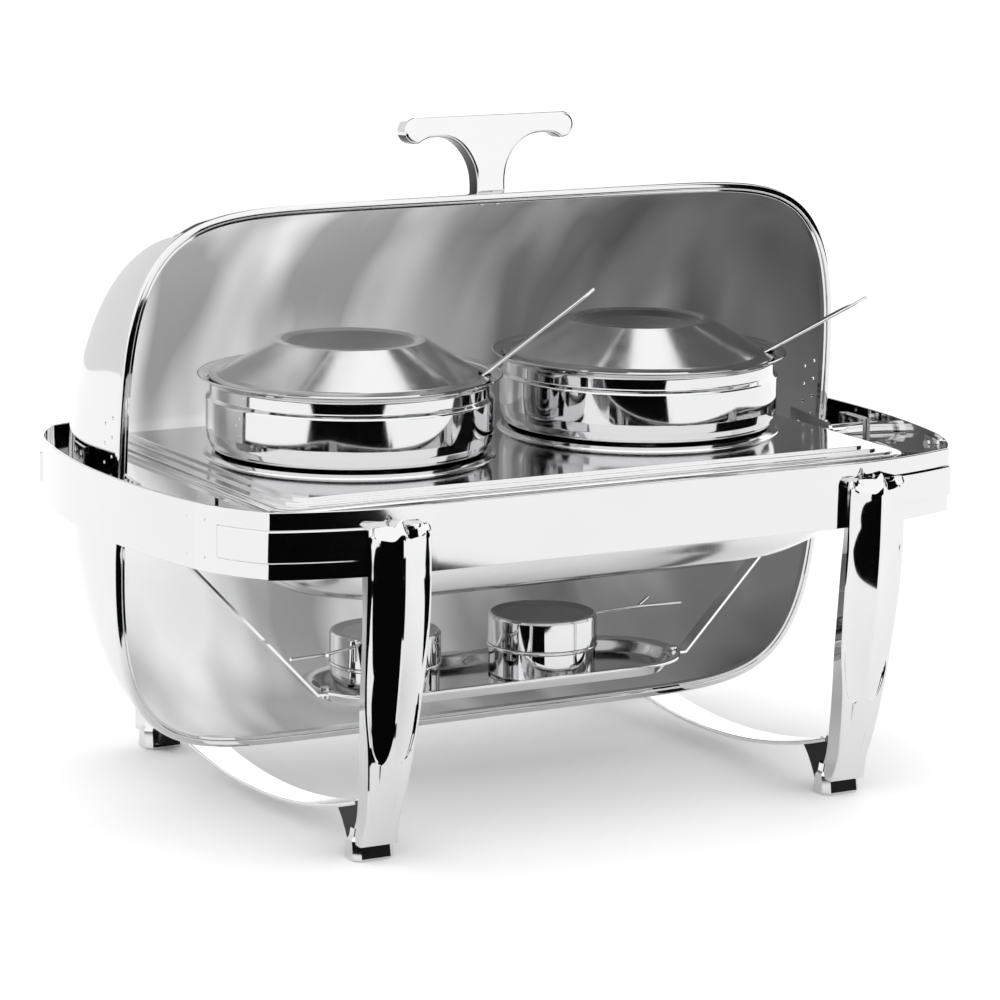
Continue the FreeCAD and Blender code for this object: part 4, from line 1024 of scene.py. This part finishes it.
def build_ladle(side_name):
    """A flat tapered handle with soft edges and a round bowl."""
    centre = Vector((POT_X[side_name], 0, 0))
    slope = math.tan(math.radians(LADLES[side_name]["slope"]))

    def at(distance):
        return centre + LADLE_OUT * distance + UP * (0.3345 + (distance - 0.109) * slope)

    bend = at(0.014)
    tip = at(LADLES[side_name]["reach"])
    bowl_top = centre - LADLE_OUT * 0.022 + UP * 0.226
    path = [bowl_top.lerp(bend, step / 8) for step in range(8)]
    lower = bowl_top.lerp(bend, 0.88)
    upper = bend.lerp(tip, 0.08)
    path += [bent(lower, bend, upper, step / 8) for step in range(1, 8)]
    path += [bend.lerp(tip, 0.08 + 0.92 * step / 40) for step in range(1, 41)]
    vertices = []
    columns = 16
    last = len(path) - 1
    for index, point in enumerate(path):
        along = (path[min(last, index + 1)] - path[max(0, index - 1)]).normalized()
        over = along.cross(LADLE_ASIDE).normalized()
        share = index / last
        wide = (0.0042 + 0.0014 * share) * min(1.0, (1 - share) * 26 + 0.35)
        for column in range(columns):
            angle = 2 * math.pi * column / columns
            a = math.copysign(abs(math.cos(angle)) ** 0.5, math.cos(angle)) * wide
            b = math.copysign(abs(math.sin(angle)) ** 0.7, math.sin(angle)) * 0.0014
            vertices.append(point + LADLE_ASIDE * a + over * b)
    faces = grid_faces(last + 1, columns) + [cap(0, columns), cap(last, columns, True)]
    body = f"ladle_{side_name}"
    nodes = [f"ladle_handle_{side_name}"]
    add_piece(f"{body}_handle", (vertices, faces), [MIRROR], nodes, body, sharp=50)
    middle = bowl_top - LADLE_OUT * 0.029
    line = []
    for step in range(13):
        angle = math.pi / 2 * step / 12
        line.append(Vector((BOWL_RADIUS * math.sin(angle), middle.z - BOWL_RADIUS * math.cos(angle))))
    shape = lathe(shell_profile(line, SHEET), middle.x, 72, middle.y)
    add_piece(f"{body}_bowl", shape, [MIRROR], [f"ladle_bowl_{side_name}"], body, sharp=40)


for side_name in SIDES:
    build_pot(side_name)
    build_pot_lid(side_name)
    build_ladle(side_name)

# ---- water pan and adaptor plate


def build_pan():
    """The water pan: a rolled flange and a deep tub with round lower corners."""
    half_x, half_y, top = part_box("water_pan")[1]
    inside = [
        # half length, half depth, corner radius, height
        (half_x - 0.0006, half_y - 0.0006, 0.02, top - 0.0042),
        (half_x, half_y, 0.02, top - 0.003),
        (half_x, half_y, 0.02, top - 0.001),
        (half_x - 0.0006, half_y - 0.0006, 0.02, top - 0.0002),
        (half_x - 0.002, half_y - 0.002, 0.019, top),
        (0.2635, 0.1615, 0.04, top),
        (0.2616, 0.1596, 0.04, top - 0.0016),
        (0.26, 0.1584, 0.0405, 0.252),
        (0.2535, 0.1535, 0.044, 0.225),
        (0.2455, 0.1475, 0.048, 0.208),
        (0.235, 0.14, 0.054, 0.194),
        (0.22, 0.129, 0.06, 0.1835),
        (0.201, 0.114, 0.064, 0.1768),
        (0.18, 0.097, 0.064, 0.1752),
    ]
    under = [
        (0.179, 0.096, 0.064, 0.174),
        (0.2015, 0.1145, 0.0645, 0.1756),
        (0.221, 0.13, 0.0605, 0.1824),
        (0.2362, 0.1412, 0.0545, 0.1932),
        (0.2467, 0.1487, 0.0485, 0.2074),
        (0.2547, 0.1547, 0.0445, 0.2246),
        (0.2612, 0.1596, 0.041, 0.252),
        (0.2628, 0.1608, 0.0405, top - 0.0026),
        (0.266, 0.164, 0.04, top - 0.0013),
        (half_x - 0.002, half_y - 0.002, 0.019, top - 0.0014),
        (half_x - 0.0012, half_y - 0.0012, 0.02, top - 0.003),
    ]
    levels = inside + under
    loops = [rounded_rectangle(x, y, corner, 14) for x, y, corner, z in levels]
    shape = dish(loops, [level[3] for level in levels], len(inside) - 1)
    add_piece("pan_tub", shape, [PAN], ["water_pan"], sharp=40)


def build_plate():
    """The adaptor plate: a rim and two steps pressed up to the deck, with a collar round each hole."""
    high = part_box("adaptor_plate")[1]
    flange = 0.2632
    hole = 0.1042
    holes = [hole_outline(x, hole) for x in POT_X.values()]
    steps = [
        # half length, half depth, corner radius, share of the rise to the deck
        (high.x, high.y, 0.016, 0.3),
        (0.259, 0.158, 0.012, 0.64),
        (0.25, 0.15, 0.01, 1.0),
    ]
    below = flange
    for index, (x, y, corner, share) in enumerate(steps):
        top = flange + (DECK - flange) * share
        thick = max(0.0012, top - below)
        outlines = [rounded_rectangle(x, y, corner, 10)] + holes
        turn = Matrix.Translation((0, 0, top - thick / 2))
        nodes = [] if index else ["adaptor_plate"]
        curve_plate(f"plate_step_{index + 1}", outlines, thick, 0.0005, turn, PLATE, nodes)
        below = top - 0.0004
    collar = [
        (hole, DECK - 0.001),
        (0.1138, DECK - 0.0006),
        (0.113, DECK + 0.0008),
        (0.11, DECK + 0.0026),
        (0.106, DECK + 0.0029),
        (hole, DECK + 0.0022),
    ]
    line = rounded_outline(collar, 0.0008, 3)
    for side_name, x in POT_X.items():
        add_piece(f"plate_collar_{side_name}", lathe(line + line[:1], x, 160), [PLATE], sharp=50)


build_pan()
build_plate()

# ---- fuel tray and burners


def oblong(half_length, half_depth, steps=28):
    """Two half circles joined by straight sides, anticlockwise from the right front."""
    flat = half_length - half_depth
    angles = [math.radians(-90 + 180 * step / steps) for step in range(steps + 1)]
    right = [(flat + half_depth * math.cos(angle), half_depth * math.sin(angle)) for angle in angles]
    return right + [(-x, -y) for x, y in right]


def build_tray():
    """The oblong tray: rolled outer edge, flat rim, sloping wall, flat floor."""
    low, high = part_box("fuel_tray")
    floor, rim = low.z, high.z
    levels = [
        # how far outside the tray's own outline, height
        (-0.0004, rim - 0.0026),
        (0.0, rim - 0.0014),
        (-0.0003, rim - 0.0004),
        (-0.0014, rim),
        (-0.007, rim - 0.001),
        (-0.0084, rim - 0.0018),
        (-0.0094, rim - 0.0034),
        (-0.0116, rim - 0.007),
        (-0.0132, floor + 0.0024),
        (-0.0142, floor + 0.0015),
        (-0.016, floor + 0.0014),
        (-0.016, floor),
        (-0.0136, floor + 0.0002),
        (-0.0128, floor + 0.001),
        (-0.0102, rim - 0.0074),
        (-0.0084, rim - 0.004),
        (-0.002, rim - 0.0018),
        (-0.001, rim - 0.0026),
    ]
    loops = [oblong(high.x + outset, high.y + outset) for outset, height in levels]
    shape = dish(loops, [height for outset, height in levels], 9)
    add_piece("tray_dish", shape, [PLATE], ["fuel_tray"], sharp=40)


def build_burner(side_name):
    """The burner: a polished cup with a rolled ring, and a polished cover with a dull dished top."""
    low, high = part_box(f"burner_cup_{side_name}")
    centre = (low.x + high.x) / 2
    floor, ring = low.z, high.z
    radius = 0.043
    cup = [
        (0, floor, 0),
        (radius - 0.002, floor, 0.002),
        (radius, floor + 0.002, 0.001),
        (radius, ring - 0.003, 0.0004),
        (radius + 0.0014, ring - 0.0024, 0.0006),
        (radius + 0.0016, ring - 0.001, 0.0008),
        (radius + 0.001, ring, 0.0005),
        (radius - 0.0014, ring, 0.0004),
        (radius - 0.0014, floor + 0.0015, 0.001),
        (0, floor + 0.0015, 0),
    ]
    shape = lathe(soft_places(cup, 4), centre, 128)
    add_piece(f"burner_{side_name}_cup", shape, [MIRROR], [f"burner_cup_{side_name}"], sharp=45)
    low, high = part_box(f"burner_cover_{side_name}")
    bottom, top = low.z, high.z
    radius = 0.0439
    cover = [
        (0, top - 0.0032, 0),
        (radius - 0.01, top - 0.0022, 0.004),
        (radius - 0.005, top - 0.0008, 0.002),
        (radius - 0.003, top, 0.001),
        (radius - 0.001, top - 0.0006, 0.001),
        (radius, top - 0.0024, 0.001),
        (radius, bottom, 0.0003),
        (radius - 0.0012, bottom, 0.0003),
        (radius - 0.0012, top - 0.004, 0.001),
        (0, top - 0.0046, 0),
    ]
    vertices, faces = lathe(soft_places(cover, 4), centre, 128)
    slots = []
    for face in faces:
        middle = middle_of(vertices, face)
        reach = math.hypot(middle.x - centre, middle.y)
        slots.append(1 if reach < radius - 0.0022 and middle.z > top - 0.0036 else 0)
    body = f"snuffer_{side_name}"
    nodes = [f"burner_cover_{side_name}"]
    add_piece(body + "_cover", (vertices, faces), [MIRROR, DISC], nodes, body, sharp=45, slots=slots)


build_tray()
for side_name in SIDES:
    build_burner(side_name)

# ---- finish on the nodes that stay

STRAP_NODES = ("pan_carrier", "tray_arm", "end_bracket", "front_brackets")
STRAP_NODES += ("pivot_bracket", "hood_ear", "seam_plates")


def finish_nodes():
    """Give every node that still shows its steel."""
    for name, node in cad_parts.items():
        material = STRAP if name.startswith(STRAP_NODES) else FASTENER
        if name.startswith("burner_grip"):
            material = MIRROR
        if not node.material_slots:
            node.data.materials.append(material)
        for place in node.material_slots:
            place.material = material


finish_nodes()

# ---- studio


def plain_material(name, tone, rough):
    material = bpy.data.materials.new(name)
    material.use_nodes = True
    colour = (tone, tone, tone, 1)
    set_shader(material, {"Base Color": colour, "Roughness": rough, "Specular IOR Level": 0})
    return material


def stage_sheet(name, size_x, size_y, place, turn, material):
    """A flat sheet that belongs to the studio."""
    mesh = bpy.data.meshes.new(name)
    corners = [(x * size_x / 2, y * size_y / 2, 0) for x, y in ((-1, -1), (1, -1), (1, 1), (-1, 1))]
    mesh.from_pydata(corners, [], [(0, 1, 2, 3)])
    mesh.materials.append(material)
    sheet = bpy.data.objects.new(name, mesh)
    sheet.matrix_world = Matrix.Translation(place) @ turn
    bpy.context.scene.collection.objects.link(sheet)
    return sheet


def mirror_card(*sheet):
    """A sheet for mirror-like surfaces only: no shadow, no place in the picture."""
    card = stage_sheet(*sheet)
    card.visible_camera = False
    card.visible_diffuse = False
    card.visible_shadow = False


ON_EDGE = Matrix.Rotation(math.pi / 2, 4, "X")
TO_VIEW = Matrix.Rotation(-VIEW_AZIMUTH, 4, "Z")


def standing_card(name, azimuth, distance, wide, low, high, material):
    """A card that stands round the object at an azimuth seen from its middle, 0 in front."""
    angle = math.radians(azimuth)
    place = Vector((math.sin(angle) * distance, -math.cos(angle) * distance, (low + high) / 2))
    mirror_card(name, wide, high - low, place, Matrix.Rotation(angle, 4, "Z") @ ON_EDGE, material)


def lying_card(name, aside, away, height, material):
    """A level card between two distances to the right and two beyond the object."""
    place = VIEW_RIGHT * sum(aside) / 2 + VIEW_AHEAD * sum(away) / 2 + UP * height
    mirror_card(name, aside[1] - aside[0], away[1] - away[0], place, TO_VIEW, material)


def upright_card(name, aside, away, low, high, material):
    """A standing card that faces the object along the view."""
    place = VIEW_RIGHT * sum(aside) / 2 + VIEW_AHEAD * away + UP * (low + high) / 2
    mirror_card(name, aside[1] - aside[0], high - low, place, TO_VIEW @ ON_EDGE, material)


def add_studio():
    scene = bpy.context.scene
    scene.view_settings.view_transform = "Standard"
    world = bpy.data.worlds.new("studio")
    scene.world = world
    world.use_nodes = True
    back = world.node_tree.nodes["Background"]
    back.inputs["Color"].default_value = (1, 1, 1, 1)
    back.inputs["Strength"].default_value = 1.35
    floor = plain_material("floor_paper", 0.95, 0.9)
    stage_sheet("floor", 40, 40, Vector((0, 0, 0)), Matrix.Identity(4), floor)
    black = plain_material("black_card", 0.002, 1.0)
    grey = plain_material("grey_card", 0.1, 1.0)
    pale = plain_material("pale_card", 0.74, 1.0)
    lying_card("card_floor_near", (-0.78, 0.85), (-1.5, -0.52), 0.001, black)
    lying_card("card_floor_feet", (-0.9, 0.08), (-0.52, -0.36), 0.001, black)
    lying_card("card_floor_far", (-1.0, 0.8), (-1.9, -1.5), 0.001, black)
    standing_card("card_low", 27, 2.17, 0.95, 0.0, 0.2, black)
    standing_card("card_behind_left", -150, 3.4, 3.4, 0.0, 3.4, pale)
    upright_card("card_front", (-1.15, 0.85), -1.9, 0.0, 0.22, black)
    lying_card("card_above_left", (-4.0, -0.05), (0.9, 5.0), 3.5, grey)
    lying_card("card_above_right", (1.0, 4.0), (0.9, 5.0), 3.5, grey)
    turn = Matrix.Rotation(VIEW_AZIMUTH, 4, "Z")
    place = Vector((0.74, -0.84, 0.68)) + turn @ Vector((0.75, 0, 0))
    mirror_card("card_right", 1.5, 0.9, place, turn @ ON_EDGE, black)


add_studio()
